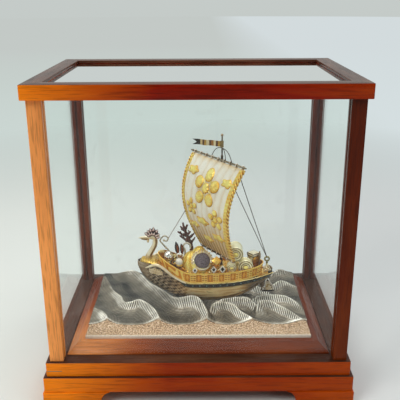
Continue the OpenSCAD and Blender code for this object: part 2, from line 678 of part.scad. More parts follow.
module deck_ornaments() {
    color("Silver") afloat() {
        limb([for (t = [-30 : 30 : 240]) [-12.3 + 4.2 * cos(t), 10.5, 64.6 + 4.2 * sin(t)]],
            [for (t = [0 : 9]) mix(0.5, 1.2, t / 9)], 8);
        rod([-14.4, 10.5, 47], [-14.4, 10.5, 60.4], 1, 1);
        limb([[-21.5, 6, 48], [-22.3, 6, 57], [-22.6, 6, 64], [-22.2, 6, 69], [-21.8, 6, 72.4]],
            [1, 1.2, 2.4, 2, 0.4], 10);
        limb([[-17.6, 6, 48], [-17.2, 6, 57], [-16.6, 6, 63], [-16.2, 6, 67.5], [-16, 6, 70.6]],
            [1, 1.2, 2.1, 1.8, 0.4], 10);
    }
}

module coral() {
    y = 14.5;
    trunk = [[-10, y, 42], [-7.2, y, 61.5], [-11.4, y, 74.5], [-16.4, y, 90.6]];
    color("Maroon") afloat() {
        for (i = [0 : 2]) rod(trunk[i], trunk[i + 1], 2.3 - i * 0.3, 2 - i * 0.3);
        for (i = [1 : 2]) translate(trunk[i]) sphere(r = 2.35 - i * 0.3);
        for (b = [[-12, 75.5, -21.7, 81, 13], [-9.4, 69.5, -19.6, 75.4, 15], [-9, 68, -4.1, 72.4, 14],
            [-10.6, 73, -4.8, 77.4, 16], [-12.4, 77.5, -8.6, 81, 13], [-13.4, 81, -19, 86, 16],
            [-14, 83, -12, 89, 13], [-8.4, 65.6, -14, 69.4, 17]])
            rod([b[0], y, b[1]], [b[2], b[4], b[3]], 1.4, 0.9);
    }
}

foot(-1, -1);  // foot_front_left
foot(1, -1);  // foot_front_right
foot(-1, 1);  // foot_back_left
foot(1, 1);  // foot_back_right
lower_plinth();
base_panel();
platform_moulding();
platform_panel();
sand_board();
wave_casting();
ship_bolts();
sill("front");  // sill_front
sill("back");  // sill_back
sill("left");  // sill_left
sill("right");  // sill_right
post(-1, -1);  // post_front_left
post(1, -1);  // post_front_right
post(-1, 1);  // post_back_left
post(1, 1);  // post_back_right
top_rail("front");  // top_rail_front
top_rail("back");  // top_rail_back
top_rail("left");  // top_rail_left
top_rail("right");  // top_rail_right
glass_pane("front");  // glass_front
glass_pane("back");  // glass_back
glass_pane("left");  // glass_left
glass_pane("right");  // glass_right
glass_pane("top");  // glass_top
hull_shell();
deck_plate();
gunwale_band();
band_studs();
bulwark();
bow_trim();
neck_collar();
figurehead_neck();
figurehead_head();
figurehead_crest();
bow_scroll();
stern_fittings();
rudder_bearing();
rudder_stock();
rudder_blade();
mast();
yard();
lower_yard();
sail();
sail_borders();
sail_motif();
lashings();
rigging_wires();
pennant();
treasure_heap();
treasure_sack();
sack_boss();
cargo_bales();
treasure_chest();
jewels();
deck_ornaments();
coral();
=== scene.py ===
import bmesh
import bpy
import numpy as np
from mathutils import Matrix, Vector
from numpy import (arange, array, clip, column_stack, concatenate, cos, exp, floor, full, interp, linspace,
                   maximum, minimum, pi, radians, sin, sqrt, stack, where)


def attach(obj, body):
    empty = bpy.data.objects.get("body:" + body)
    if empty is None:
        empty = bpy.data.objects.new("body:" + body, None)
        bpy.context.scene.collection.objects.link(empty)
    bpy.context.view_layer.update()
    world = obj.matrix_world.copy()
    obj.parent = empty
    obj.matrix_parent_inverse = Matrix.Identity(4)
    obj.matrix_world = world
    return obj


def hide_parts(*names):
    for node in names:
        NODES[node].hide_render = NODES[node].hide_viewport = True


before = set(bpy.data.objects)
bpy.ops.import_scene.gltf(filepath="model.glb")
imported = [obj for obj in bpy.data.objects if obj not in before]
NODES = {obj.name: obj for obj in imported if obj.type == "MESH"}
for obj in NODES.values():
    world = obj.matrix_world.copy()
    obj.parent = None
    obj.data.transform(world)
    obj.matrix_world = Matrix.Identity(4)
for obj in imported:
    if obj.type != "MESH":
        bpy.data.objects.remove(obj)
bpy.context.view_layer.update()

MM = 0.001
TURN = 2 * pi
RNG = np.random.default_rng(11)

# Heights of the case and half sizes of the sand board, in mm; heights aboard start on the sand board
FOOT_TOP, PLINTH_TOP, SILL_TOP, PLATFORM_TOP, AFLOAT = 14, 30.4, 45.5, 54, 57
POST_TOP, CASE_TOP = 302.6, 316
POST_SIZE, POST_X, POST_Y = 13.3, 139.15, 89.65
BOARD_X, BOARD_Y = 115, 69
# Ends, middle and half beam of the hull
BOW, MID, STERN, BEAM = -66.0, 10.0, 82.0, 19.5
# Sail, mast and the angle by which the yards are braced
SAIL_TOP, SAIL_FOOT, MAST_X, BRACE = 165.4, 61.5, 25.5, radians(55)
ALONG = array([cos(BRACE), -sin(BRACE), 0])
AHEAD = array([-sin(BRACE), -cos(BRACE), 0])
BOTH = (-1, 1)
BACKWARDS, SIDEWAYS = (0, 1, 0), (1, 0, 0)


# ---------------- numbers and shapes

def smooth(v, start=0, width=1):
    """0 up to start, 1 from a width further on, eased between."""
    c = clip((v - start) / width, 0, 1)
    return c * c * (3 - 2 * c)


def bell(v):
    return exp(-v ** 2)


def mix(a, b, t):
    return a + (b - a) * t


def frac(v):
    return v - floor(v)


def ring(n):
    """n angles around a turn, in one row."""
    return linspace(0, TURN, n, endpoint=False)[None, :]


def steps(n):
    """0 to n - 1 in one column."""
    return arange(n)[:, None]


def run_of(path):
    """Distance along a path, in one column."""
    return concatenate([[0], np.cumsum(np.linalg.norm(np.diff(path, axis=0), axis=1))])[:, None]


def grid(x, y, z):
    """Points from coordinates that broadcast together."""
    return stack(np.broadcast_arrays(x, y, z), -1)


def arc(at, r, angles):
    """Points about a centre, in an upright plane along the ship."""
    return at + r * stack([cos(angles), 0 * angles, sin(angles)], 1)


def skin(rows, tint=1.0, close=False):
    """Vertices, faces and tints over rows of points, each row a loop."""
    rows = np.asarray(rows, float)
    m, n = rows.shape[:2]
    i, k = steps(m if close else m - 1), arange(n)[None, :]
    i2, k2 = (i + 1) % m, (k + 1) % n
    quads = np.broadcast_arrays(i * n + k, i * n + k2, i2 * n + k2, i2 * n + k)
    faces = stack(quads, -1).reshape(-1, 4).tolist()
    if not close:
        faces += [list(range(n))[::-1], list(range((m - 1) * n, m * n))]
    return rows.reshape(-1, 3), faces, array(np.broadcast_to(tint, (m, n)), float).ravel()


def shell(front, back, tone, back_tone, **more):
    """A skin whose loops run over a front and return over a back."""
    tones = [np.broadcast_to(t, q.shape[:2]) for t, q in ((tone, front), (back_tone, back))]
    return skin(concatenate([front, back], 1), concatenate(tones, 1), **more)


def join(*shapes):
    verts, faces, tints, start = [], [], [], 0
    for v, f, t in shapes:
        verts.append(v)
        tints.append(t)
        faces += [[j + start for j in face] for face in f]
        start += len(v)
    return concatenate(verts), faces, concatenate(tints)


def shaded(shape, tint):
    return shape[0], shape[1], full(len(shape[0]), float(tint))


def moved(shape, at=(0, 0, 0), turn=None):
    verts = shape[0] if turn is None else shape[0] @ array(turn).T
    return verts + array(at, float), shape[1], shape[2]


def turn_xyz(x=0, y=0, z=0):
    """The turn of rotate([x, y, z]) in degrees."""
    a, b, c = (Matrix.Rotation(radians(v), 3, k) for v, k in ((x, "X"), (y, "Y"), (z, "Z")))
    return c @ b @ a


def spline(points, n):
    """n rows on a smooth curve through the points; further columns go with them."""
    p = np.asarray(points, float)
    p = np.vstack([2 * p[0] - p[1], p, 2 * p[-1] - p[-2]])
    t = linspace(0, len(p) - 3 - 1e-9, n)
    i = t.astype(int)
    u = (t - i)[:, None]
    a, b, c, d = p[i], p[i + 1], p[i + 2], p[i + 3]
    return 0.5 * (2 * b + (c - a) * u + (2 * a - 5 * b + 4 * c - d) * u ** 2
                  + (3 * b - a - 3 * c + d) * u ** 3)


def tube(path, radius, n=12, loop=False, relief=1.0, tint=1.0, flat=1.0, up=(0, 0, 1)):
    """A round bar along a path. relief scales its radius, flat narrows it sideways."""
    path = np.asarray(path, float)
    tan = np.roll(path, -1, 0) - np.roll(path, 1, 0)
    if not loop:
        tan[0], tan[-1] = path[1] - path[0], path[-1] - path[-2]
    tan /= np.linalg.norm(tan, axis=1)[:, None]
    side = np.cross(tan[0], up)
    if np.linalg.norm(side) < 1e-3:
        side = np.cross(tan[0], (0, 1, 0.1))
    sides, ups = [], []
    for t in tan:
        side = side - t * (side @ t)
        side = side / np.linalg.norm(side)
        sides.append(side)
        ups.append(np.cross(side, t))
    r = np.asarray(radius, float).reshape(-1, 1) * relief * np.ones((len(path), n))
    across = (r * flat * cos(ring(n)))[..., None] * array(sides)[:, None]
    return skin(path[:, None] + across + (r * sin(ring(n)))[..., None] * array(ups)[:, None], tint, loop)


def rod(points, n, sides, **more):
    """A bar on a smooth curve through points with a radius each."""
    p = spline(points, n)
    return tube(p[:, :3], p[:, 3], sides, **more)


def lathe(profile, n=32, relief=1.0, tint=1.0):
    """A turned form about Z from (radius, height) points; relief scales the radius."""
    r, z = (np.asarray(profile, float)[:, k:k + 1] for k in (0, 1))
    tint = np.asarray(tint, float)
    return skin(grid(r * relief * cos(ring(n)), r * relief * sin(ring(n)), z),
                tint[:, None] if tint.ndim == 1 else tint)


def ball(at, r, n=20, squash=1.0, tint=1.0):
    t = linspace(0, pi, n // 2 + 2)
    return moved(lathe(stack([r * sin(t), -r * squash * cos(t)], 1), n, tint=tint), at)


def fillet(points, r, seg=3):
    """The polygon with its corners eased by about r."""
    p = np.asarray(points, float)
    out = []
    for a, b, c in zip(np.roll(p, 1, 0), p, np.roll(p, -1, 0)):
        la, lc = np.linalg.norm(a - b), np.linalg.norm(c - b)
        s, e = b + (a - b) * min(r / la, 0.45), b + (c - b) * min(r / lc, 0.45)
        for t in linspace(0, 1, seg + 1):
            out.append(s * (1 - t) ** 2 + 2 * b * t * (1 - t) + e * t * t)
    return array(out)


def prism(outline, low, high):
    """An upright bar over an outline in plan."""
    return skin([column_stack([outline, full(len(outline), z)]) for z in (low, high)])


def plate(outline, mid, half):
    """An upright plate along the ship, its faces alike: scale about mid, half thickness and tint."""
    rows, tints = [], []
    for k, y, tint in (*half, *((k, -y, tint) for k, y, tint in half[::-1])):
        x, z = (mid + (outline - mid) * k).T
        rows.append(grid(x, -y, z))
        tints.append([tint])
    return skin(rows, tints)


def eased(bm, edges, ease):
    """The shape that a bmesh holds, with some edges eased."""
    bmesh.ops.bevel(bm, geom=edges, offset=ease, segments=2, profile=0.6, affect="EDGES")
    verts = array([v.co for v in bm.verts])
    faces = [[v.index for v in f.verts] for f in bm.faces]
    bm.free()
    return verts, faces, np.ones(len(verts))


def block(size, ease):
    """A box about the origin with eased edges."""
    bm = bmesh.new()
    bmesh.ops.create_cube(bm, size=1)
    bmesh.ops.scale(bm, vec=size, verts=bm.verts)
    return eased(bm, bm.edges[:], ease)


def scales(u, v, w, h):
    """Rows of overlapping rounded feathers: height, and a tint with painted shade low on each feather, under
    the next row, and in the gaps.
    """
    row = floor(v / h)
    b = v / h - row - 0.6 * (2 * frac(u / w + 0.5 * (row % 2)) - 1) ** 2
    return where(b > 0, 1 - 0.75 * b, 0.1), where(b > 0, 1 - 0.35 * b, 0.2)


def piece(name, shape, mat, slot, takes=None, body="base", angle=35, lift=0):
    """A visible piece on a body, of one shape or a list, in place of the node that it takes."""
    verts, faces, tint = join(*shape) if isinstance(shape, list) else shape
    mesh = bpy.data.meshes.new(name)
    mesh.from_pydata(((verts + (0, 0, lift)) * MM).tolist(), [], faces)
    mesh.attributes.new("tint", "FLOAT", "POINT").data.foreach_set("value", tint)
    bm = bmesh.new()
    bm.from_mesh(mesh)
    bmesh.ops.remove_doubles(bm, verts=bm.verts, dist=2e-6)
    bmesh.ops.dissolve_degenerate(bm, dist=1e-6, edges=bm.edges)
    bmesh.ops.recalc_face_normals(bm, faces=bm.faces)
    bm.to_mesh(mesh)
    bm.free()
    mesh.polygons.foreach_set("use_smooth", [True] * len(mesh.polygons))
    mesh.set_sharp_from_angle(angle=radians(angle))
    mesh.materials.append(mat)
    obj = bpy.data.objects.new(name, mesh)
    bpy.context.collection.objects.link(obj)
    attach(obj, body)
    if takes:
        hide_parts(takes)


def aboard(name, shape, mat, slot, takes=None, **more):
    piece(name, shape, mat, slot, takes, lift=AFLOAT, **more)


def dress(mat, *nodes):
    """Gives carried-over solids their material."""
    for name in nodes:
        obj = NODES[name]
        if not obj.material_slots:
            obj.data.materials.append(mat)
        obj.material_slots[0].material = mat


# ---------------- materials

def rgb(text):
    """Linear colour of a six-digit sRGB code."""
    v = [int(text[i:i + 2], 16) / 255 for i in (0, 2, 4)]
    return tuple(c / 12.92 if c <= 0.04045 else ((c + 0.055) / 1.055) ** 2.4 for c in v) + (1.0,)


class Paint:
    """The nodes of a material or the world under construction."""

    def __init__(self, name, kind="materials"):
        self.owner = getattr(bpy.data, kind).new(name)
        self.owner.use_nodes = True
        self.tree = self.owner.node_tree
        self.tree.nodes.clear()

    def plug(self, value, socket):
        if isinstance(value, bpy.types.NodeSocket):
            self.tree.links.new(value, socket)
        else:
            socket.default_value = value

    def add(self, kind, *first, **values):
        """A node's outputs; values go to its settings and, with a capital, to its sockets."""
        node = self.tree.nodes.new("ShaderNode" + kind)
        for value, socket in zip(first, node.inputs):
            self.plug(value, socket)
        for key, value in values.items():
            if key[0].islower():
                setattr(node, key, value)
            else:
                self.plug(value, node.inputs[key.replace("_", " ")])
        return node.outputs

    def maths(self, op, a, b, clamp=False):
        return self.add("Math", a, b, operation=op, use_clamp=clamp)[0]

    def plus(self, a, b, clamp=False):
        return self.maths("ADD", a, b, clamp)

    def times(self, a, b, clamp=False):
        return self.maths("MULTIPLY", a, b, clamp)

    def at(self, kind="Object"):
        return self.add("TexCoord")[kind]

    def xyz(self, kind="Object"):
        return self.add("SeparateXYZ", self.at(kind))

    def noise(self, scale, detail=3.0, stretch=(1, 1, 1), warp=0.0):
        place = self.add("Mapping", Vector=self.at(), Scale=stretch)[0]
        return self.add("TexNoise", Vector=place, Scale=scale, Detail=detail, Distortion=warp)[0]

    def tint(self):
        return self.add("Attribute", attribute_name="tint")["Fac"]

    def ramp(self, fac, *stops, kind="LINEAR"):
        colours = self.add("ValToRGB", fac)[0]
        ramp = colours.node.color_ramp
        ramp.interpolation = kind
        while len(ramp.elements) < len(stops):
            ramp.elements.new(0.5)
        for e, (place, colour) in zip(ramp.elements, stops):
            e.position = place
            e.color = rgb(colour) if isinstance(colour, str) else (colour, colour, colour, 1)
        return colours

    def mix(self, fac, a, b, kind="MIX"):
        a, b = (rgb(c) if isinstance(c, str) else c for c in (a, b))
        return self.add("MixRGB", fac, a, b, blend_type=kind)[0]

    def span(self, value, low, high, to_low=0.0, to_high=1.0):
        return self.add("MapRange", value, low, high, to_low, to_high)[0]

    def bump(self, height, strength=0.3, distance=0.0003):
        return self.add("Bump", Height=height, Strength=strength, Distance=distance)[0]

    def blend(self, fac, a, b):
        return self.add("MixShader", fac, a, b)[0]

    def done(self, shader, output="OutputMaterial"):
        self.add(output, shader)
        return self.owner

    def principled(self, **sockets):
        return self.done(self.add("BsdfPrincipled", **sockets)[0])


WARM = ((0.16, "5a0c01"), (0.32, "861702"), (0.56, "b44805"), (0.95, "fb8712"))
BROWN = ((0.16, "380f04"), (0.32, "5e2008"), (0.56, "924313"), (0.95, "ffa55a"))


def wood(name, axis, tones=WARM, right=0.3, painted_shade_faces=False):
    """Polished wood, its grain along one axis, with painted light towards the left front, painted shade on the
    faces tinted 0, and a little lighter towards the bottom.
    """
    p = Paint(name)
    wide, fine = [13.0] * 3, [60.0] * 3
    wide[axis], fine[axis] = 1.6, 3.0
    streak, pore = p.noise(7, 4, wide, 0.6), p.noise(14, 4, fine)
    x, y, z = p.xyz()
    # Painted light: bright at the left end, dark in the middle, at right at the right end; front pieces take
    # it, back ones a flat grey
    ends = p.ramp(p.span(x, -0.155, 0.155), (0.02, 0.95), (0.4, 0.12), (0.7, 0.14), (1, right))
    painted_light = p.mix(p.span(y, 0.03, -0.085), "656565", ends)
    level = p.plus(p.times(streak, 0.26), p.times(painted_light, 0.75))
    level = p.plus(level, p.span(z, 0.3, 0.0, 0.06, 0.19))
    colour = p.ramp(level, *tones) if tones else p.ramp(streak, (0.3, "8a5a34"), (0.7, "b98a58"))
    # Painted shade: the faces tinted 0, the tops and inner faces of the rails, take a dark colour
    if painted_shade_faces:
        colour = p.mix(p.tint(), p.ramp(streak, (0.3, "3a1f14"), (0.7, "5e3826")), colour)
    colour = p.mix(p.span(pore, 0.36, 0.5, 0.32, 0.0), colour, "2a0802", "MULTIPLY")
    return p.principled(
        Base_Color=colour, Roughness=p.span(pore, 0.3, 0.7, 0.34, 0.24), Specular_IOR_Level=0.06,
        Coat_Weight=0.1, Coat_Roughness=0.08, Normal=p.bump(pore, 0.12, 0.0002))


def metal(name, dark, mid, light, rough, metallic, grain=500, bump=0.2, tinted=True, wear=(0.72, 1.2)):
    """Cast and polished metal, unevenly worn; the tint sets its tone, dark to light, and carries painted shade
    in hollows and painted highlights on high parts.
    """
    p = Paint(name)
    patch = p.noise(90, 4, warp=0.5)
    level = p.times(p.tint() if tinted else 0.8, p.span(patch, 0.25, 0.75, *wear), True)
    colour = p.ramp(level, (0.08, dark), (0.52, mid), (0.95, light))
    return p.principled(
        Base_Color=colour, Metallic=metallic, Roughness=p.span(patch, 0.3, 0.7, rough + 0.1, rough - 0.07),
        Normal=p.bump(p.noise(grain, 3), bump))


def hull_metal():
    """Silver at the breast and aft, pale gold between."""
    p = Paint("hull_metal")
    patch = p.noise(70, 4, warp=0.5)
    level = p.times(p.tint(), p.span(patch, 0.25, 0.75, 0.75, 1.15), True)
    gold = p.ramp(level, (0.15, "4a2609"), (0.5, "d89c48"), (0.85, "ffe3a4"))
    silver = p.ramp(level, (0.15, "22140a"), (0.5, "8c7454"), (0.9, "f2e2c4"))
    along = p.plus(p.xyz()[0], p.times(patch, 0.02))
    colour = p.mix(p.span(along, -0.025, 0.012), silver, p.mix(p.span(along, 0.055, 0.07), gold, silver))
    return p.principled(Base_Color=colour, Metallic=0.25, Roughness=p.span(patch, 0.3, 0.7, 0.38, 0.26),
                        Normal=p.bump(p.noise(420, 3), 0.15))


def glass(name, power, most):
    """Clear panes with a little dust, brighter at a shallow angle."""
    p = Paint(name)
    dust = p.times(p.span(p.noise(35, 5, warp=1.0), 0.62, 0.8), 0.05, True)
    body = p.blend(dust, p.add("BsdfTransparent", (0.985, 0.995, 0.99, 1))[0],
                   p.add("BsdfDiffuse", (0.85, 0.87, 0.86, 1))[0])
    facing = p.add("LayerWeight", Blend=0.5)["Facing"]
    shine = p.plus(p.times(p.maths("POWER", facing, power), most), 0.02, True)
    return p.done(p.blend(shine, body, p.add("BsdfGlossy", Color=(1, 1, 1, 1), Roughness=0.03)[0]))


def wire():
    """Rigging wire, bright in the fore sheet and dark further aft."""
    p = Paint("rigging_metal")
    fine = p.noise(900, 2)
    dark = p.ramp(fine, (0.3, "2c241e"), (0.7, "5c4e42"))
    bright = p.ramp(fine, (0.3, "8c7a70"), (0.7, "d2c2b8"))
    return p.principled(Base_Color=p.mix(p.span(p.xyz()[0], -0.03, 0.0), bright, dark), Metallic=0.5,
                        Roughness=0.4, Normal=p.bump(fine, 0.2))


def sandy():
    """Coarse sand, pale along the board's edge where the tint is low."""
    p = Paint("sand")
    grain, patch = p.noise(700, 2), p.noise(45, 3)
    colour = p.ramp(p.plus(p.times(grain, 0.95), p.times(patch, 0.12)),
                    (0.38, "7a5b42"), (0.54, "cda882"), (0.7, "f3dcc2"))
    colour = p.mix(p.maths("SUBTRACT", 1.0, p.tint(), True), colour, "fbf3e4")
    return p.principled(Base_Color=colour, Roughness=0.85, Specular_IOR_Level=0.3,
                        Normal=p.bump(grain, 0.9, 0.0006))


def striped():
    """Painted pennant: upright bands, black at the tails."""
    p = Paint("pennant_paint")
    fine = p.noise(400, 3)
    bands = p.ramp(p.tint(), (0.0, "8d7442"), (0.06, "c79a3e"), (0.13, "5a3418"), (0.2, "ead9ae"),
                   (0.29, "b0742a"), (0.36, "5a3418"), (0.43, "ead9ae"), (0.52, "c79a3e"), (0.59, "5a3418"),
                   (0.66, "dfc58c"), (0.74, "14110f"), kind="CONSTANT")
    return p.principled(Base_Color=p.mix(p.span(fine, 0.3, 0.7, 0.0, 0.25), bands, "6b5330"), Metallic=0.55,
                        Roughness=p.span(fine, 0.3, 0.7, 0.35, 0.5), Normal=p.bump(fine, 0.2))


def stony(name, dark, light, rough, grain=300, coat=0.0):
    """Stone, enamel or coral, a little mottled."""
    p = Paint(name)
    patch = p.noise(grain, 4, warp=0.4)
    level = p.times(patch, p.span(p.tint(), 0, 1, 0.5, 1.25))
    return p.principled(Base_Color=p.ramp(level, (0.25, dark), (0.75, light)),
                        Roughness=p.span(patch, 0.3, 0.7, rough, rough + 0.15),
                        Coat_Weight=coat, Coat_Roughness=0.1, Normal=p.bump(patch))


WOOD = [wood(f"polished_wood_{k}", i, painted_shade_faces=True) for i, k in enumerate("xy")]
INNER = [wood(f"inner_wood_{k}", i, BROWN, 0.12) for i, k in enumerate("xy")]
POST = wood("post_wood", 2, BROWN, 0.1)
PLAIN = wood("plain_wood", 0, None)
GLASS = glass("clear_glass", 4.0, 0.5)
TOP_GLASS = glass("top_glass", 2.2, 1.5)
SAND = sandy()
WIRE = wire()
HULL = hull_metal()
PENNANT = striped()
SEA = metal("sea_metal", "1b1917", "958b7a", "fbf6ea", 0.44, 0.6, 260, 0.25)
DARK = metal("dark_metal", "17110d", "4a3a2c", "a08a6c", 0.32, 0.9)
DARK_CAD = metal("dark_metal_plain", "17110d", "4a3a2c", "a08a6c", 0.35, 0.9, tinted=False)
CORD_CAD = metal("cord_plain", "5a4030", "c9b096", "fff4e4", 0.4, 0.4, tinted=False)
GOLD = metal("gold", "3a1c03", "dc9414", "ffe27a", 0.29, 0.6)
GOLD_CAD = metal("gold_plain", "3f2004", "d18d18", "ffe084", 0.3, 0.82, tinted=False)
BRIGHT = metal("bright_gold", "5e3804", "e8ac1c", "fff08a", 0.36, 0.4)
WALL = metal("wall_gold", "5a2602", "e8980c", "ffe272", 0.34, 0.25)
ORANGE = metal("orange_gold", "6a3004", "e0890f", "ffcf60", 0.3, 0.7)
PALE = metal("pale_gold", "4a340f", "deb650", "fff2b0", 0.3, 0.55)
ROLL = metal("roll_gold", "3a2808", "d2b256", "fff8d0", 0.36, 0.35)
IVORY = metal("ivory_metal", "5a3610", "dfbd7c", "fff5d8", 0.34, 0.4)
OLIVE = metal("olive_gold", "1d1a08", "7d7030", "e8dca0", 0.32, 0.75)
BRONZE = metal("bronze", "241a10", "7d6b50", "d8cbae", 0.34, 0.8)
AMBER = metal("amber_metal", "150a05", "9a4a16", "eaa54e", 0.36, 0.5)
SILVER = metal("silver", "3a2c1e", "bdb2a2", "fffdf8", 0.27, 0.85)
SAIL = metal("sail_silver", "6b4520", "dcb878", "fffaea", 0.4, 0.12, 300, 0.12, wear=(0.92, 1.06))
COPPER = metal("petal_metal", "22100c", "b9877c", "ffeae2", 0.36, 0.4)
ENAMEL = stony("enamel", "060505", "1a1816", 0.25, 300, 0.2)
GLAZE = stony("enamel_dots", "26403f", "6f908c", 0.25, 600, 0.3)
STONE = stony("dark_stone", "1c1519", "9a8a92", 0.35, 700)
PEARL = stony("pearl", "cfc6b4", "f6f2e6", 0.15, 120, 0.5)
CORAL = stony("red_coral", "1c0a06", "6a2a1a", 0.35, 400, 0.3)


# ---------------- camera, floor and light

def placed(name, data):
    """A new object in the scene."""
    obj = bpy.data.objects.new(name, data)
    bpy.context.collection.objects.link(obj)
    return obj


def camera():
    pitch, yaw, roll = radians((-18.897, -0.02, -0.27))
    axes = Matrix(((cos(roll), -sin(roll), 0), (0, 0, -1), (sin(roll), cos(roll), 0)))
    turn = Matrix.Rotation(yaw, 3, "Z") @ Matrix.Rotation(pitch, 3, "X") @ axes
    data = bpy.data.cameras.new("camera")
    data.sensor_fit, data.sensor_width, data.lens = "HORIZONTAL", 36, 55.53
    data.clip_start = 0.01
    obj = placed("camera", data)
    obj.matrix_world = Matrix.Translation((0.00226, -0.61894, 0.39128)) @ turn.to_4x4()
    bpy.context.scene.camera = obj


def seen(p):
    """1 for the rays that show the backdrop itself."""
    path = p.add("LightPath")
    both = p.maths("MAXIMUM", path["Is Camera Ray"], path["Is Glossy Ray"])
    return p.maths("MAXIMUM", both, path["Is Transmission Ray"])


def ground():
    """A pale floor that glows like the backdrop far out."""
    r = array([[0.002, 0.5, 1, 2, 4, 9]]).T
    verts, faces, _ = skin(grid(r * cos(ring(64)), r * sin(ring(64)), 0))
    mesh = bpy.data.meshes.new("floor")
    mesh.from_pydata(verts.tolist(), [], faces[:-1])
    p = Paint("floor_paint")
    x = p.xyz()[0]
    away = p.add("VectorMath", p.at(), operation="LENGTH")["Value"]
    # Painted light: the near floor is lighter on the left, the side of the key lamp
    near = p.mix(p.span(x, -0.25, 0.25), "dcdfd9", "cfd1d0")
    near = p.mix(p.span(p.noise(3, 3), 0.3, 0.7, 0.0, 0.08), near, "c9cbc6")
    far = p.ramp(p.span(away, 0.9, 4.0), (0.0, "ccd8d4"), (0.5, "c6cfcb"), (1.0, "c3c9c6"))
    far = p.mix(p.span(x, 0.15, 0.6, 0.0, 0.7), far, "d9e2e6")
    mesh.materials.append(p.done(p.blend(
        p.times(seen(p), p.span(away, 0.55, 1.3)),
        p.add("BsdfDiffuse", near)[0], p.add("Emission", far)[0])))
    placed("floor", mesh)


def light():
    """A plain pale room, dim in front in reflections only, and three soft lamps."""
    p = Paint("room", "worlds")
    _, y, z = p.xyz("Generated")
    high = p.span(z, -0.1, 0.9)
    room = p.ramp(high, (0.0, "8d8a86"), (0.25, "a9acab"), (0.6, "dfe6e8"), (1.0, "f4f7f8"))
    front = p.span(y, -0.9, 0.1, 0.25, 1.0)
    room = p.mix(1.0, room, p.ramp(front, (0.0, 0.0), (1.0, 1.0)), "MULTIPLY")
    shown = p.ramp(high, (0.0, "c3c9c6"), (0.3, "c9d0ce"), (0.7, "e6ebec"), (1.0, "f2f4f4"))
    dim = p.maths("SUBTRACT", p.span(front, 0.25, 1.0, 0.75, 0.0), p.add("LightPath")["Is Camera Ray"], True)
    bpy.context.scene.world = p.done(p.blend(
        seen(p), p.add("Background", room, 0.7)[0],
        p.add("Background", p.mix(dim, shown, "4a4643"), 1.0)[0]), "OutputWorld")
    for name, at, aim, size, power, tone in (
            ("key", (-0.85, -0.75, 1.25), (0, 0, 0.12), 0.7, 12.5, (1, 0.985, 0.96)),
            ("top", (0.25, 0.15, 1.5), (0, 0, 0.1), 0.9, 10.0, (0.97, 0.99, 1)),
            ("side", (1.2, -0.9, 0.7), (0, 0, 0.12), 0.6, 2.5, (0.98, 0.99, 1))):
        data = bpy.data.lights.new(name, "AREA")
        data.size, data.energy, data.color = size, power, tone
        obj = placed(name, data)
        obj.location = at
        obj.rotation_euler = (Vector(aim) - Vector(at)).to_track_quat("-Z", "Y").to_euler()


# ---------------- case

def rail(side, outer, section, corner=1.2):
    """One side of a mitred frame; the section is (distance in from the outer face, height)."""
    along, across = outer if side in ("front", "back") else outer[::-1]
    u, z = section.T
    ends = []
    for phi in (pi / 4, pi / 8, 0):
        w = where(u < corner, u + corner * (1 - cos(phi)) * (1 - u / corner), u)
        s = minimum(along / 2 - corner + corner * sin(phi), along / 2 - w - 0.03)
        ends.append((s, across / 2 - w))
    rows = [(-s, o) for s, o in ends] + ends[::-1]
    place = {"front": lambda s, o: (s, -o), "back": lambda s, o: (-s, o),
             "left": lambda s, o: (-o, -s), "right": lambda s, o: (o, s)}[side]
    # Tint 0 on the top and inner faces, where wood() paints shade
    plain = where((z > z.max() - 0.2) | (u > u.max() - 0.2), 0.0, 1.0)
    return skin([column_stack([*place(s, o), z]) for s, o in rows], plain[None, :])


def frame_of(name, outer, section, ease, nodes, body="base", woods=WOOD):
    """A frame of four rails, in place of four nodes or one shared node."""
    for i, side in enumerate(("front", "back", "left", "right")):
        piece(f"{name}_{side}", rail(side, outer, fillet(section, ease)), woods[i // 2], "polished_wood",
              nodes.format(side), body, 30)


def bracket(node):
    """The bracket foot with its edges eased."""
    bm = bmesh.new()
    bm.from_mesh(NODES[node].data)
    bmesh.ops.remove_doubles(bm, verts=bm.verts, dist=1e-6)
    bmesh.ops.dissolve_limit(bm, angle_limit=0.02, verts=bm.verts, edges=bm.edges)
    sharp = [e for e in bm.edges if len(e.link_faces) == 2 and e.calc_face_angle() > 0.7]
    verts, faces, tint = eased(bm, sharp, 0.7 * MM)
    return verts / MM, faces, tint


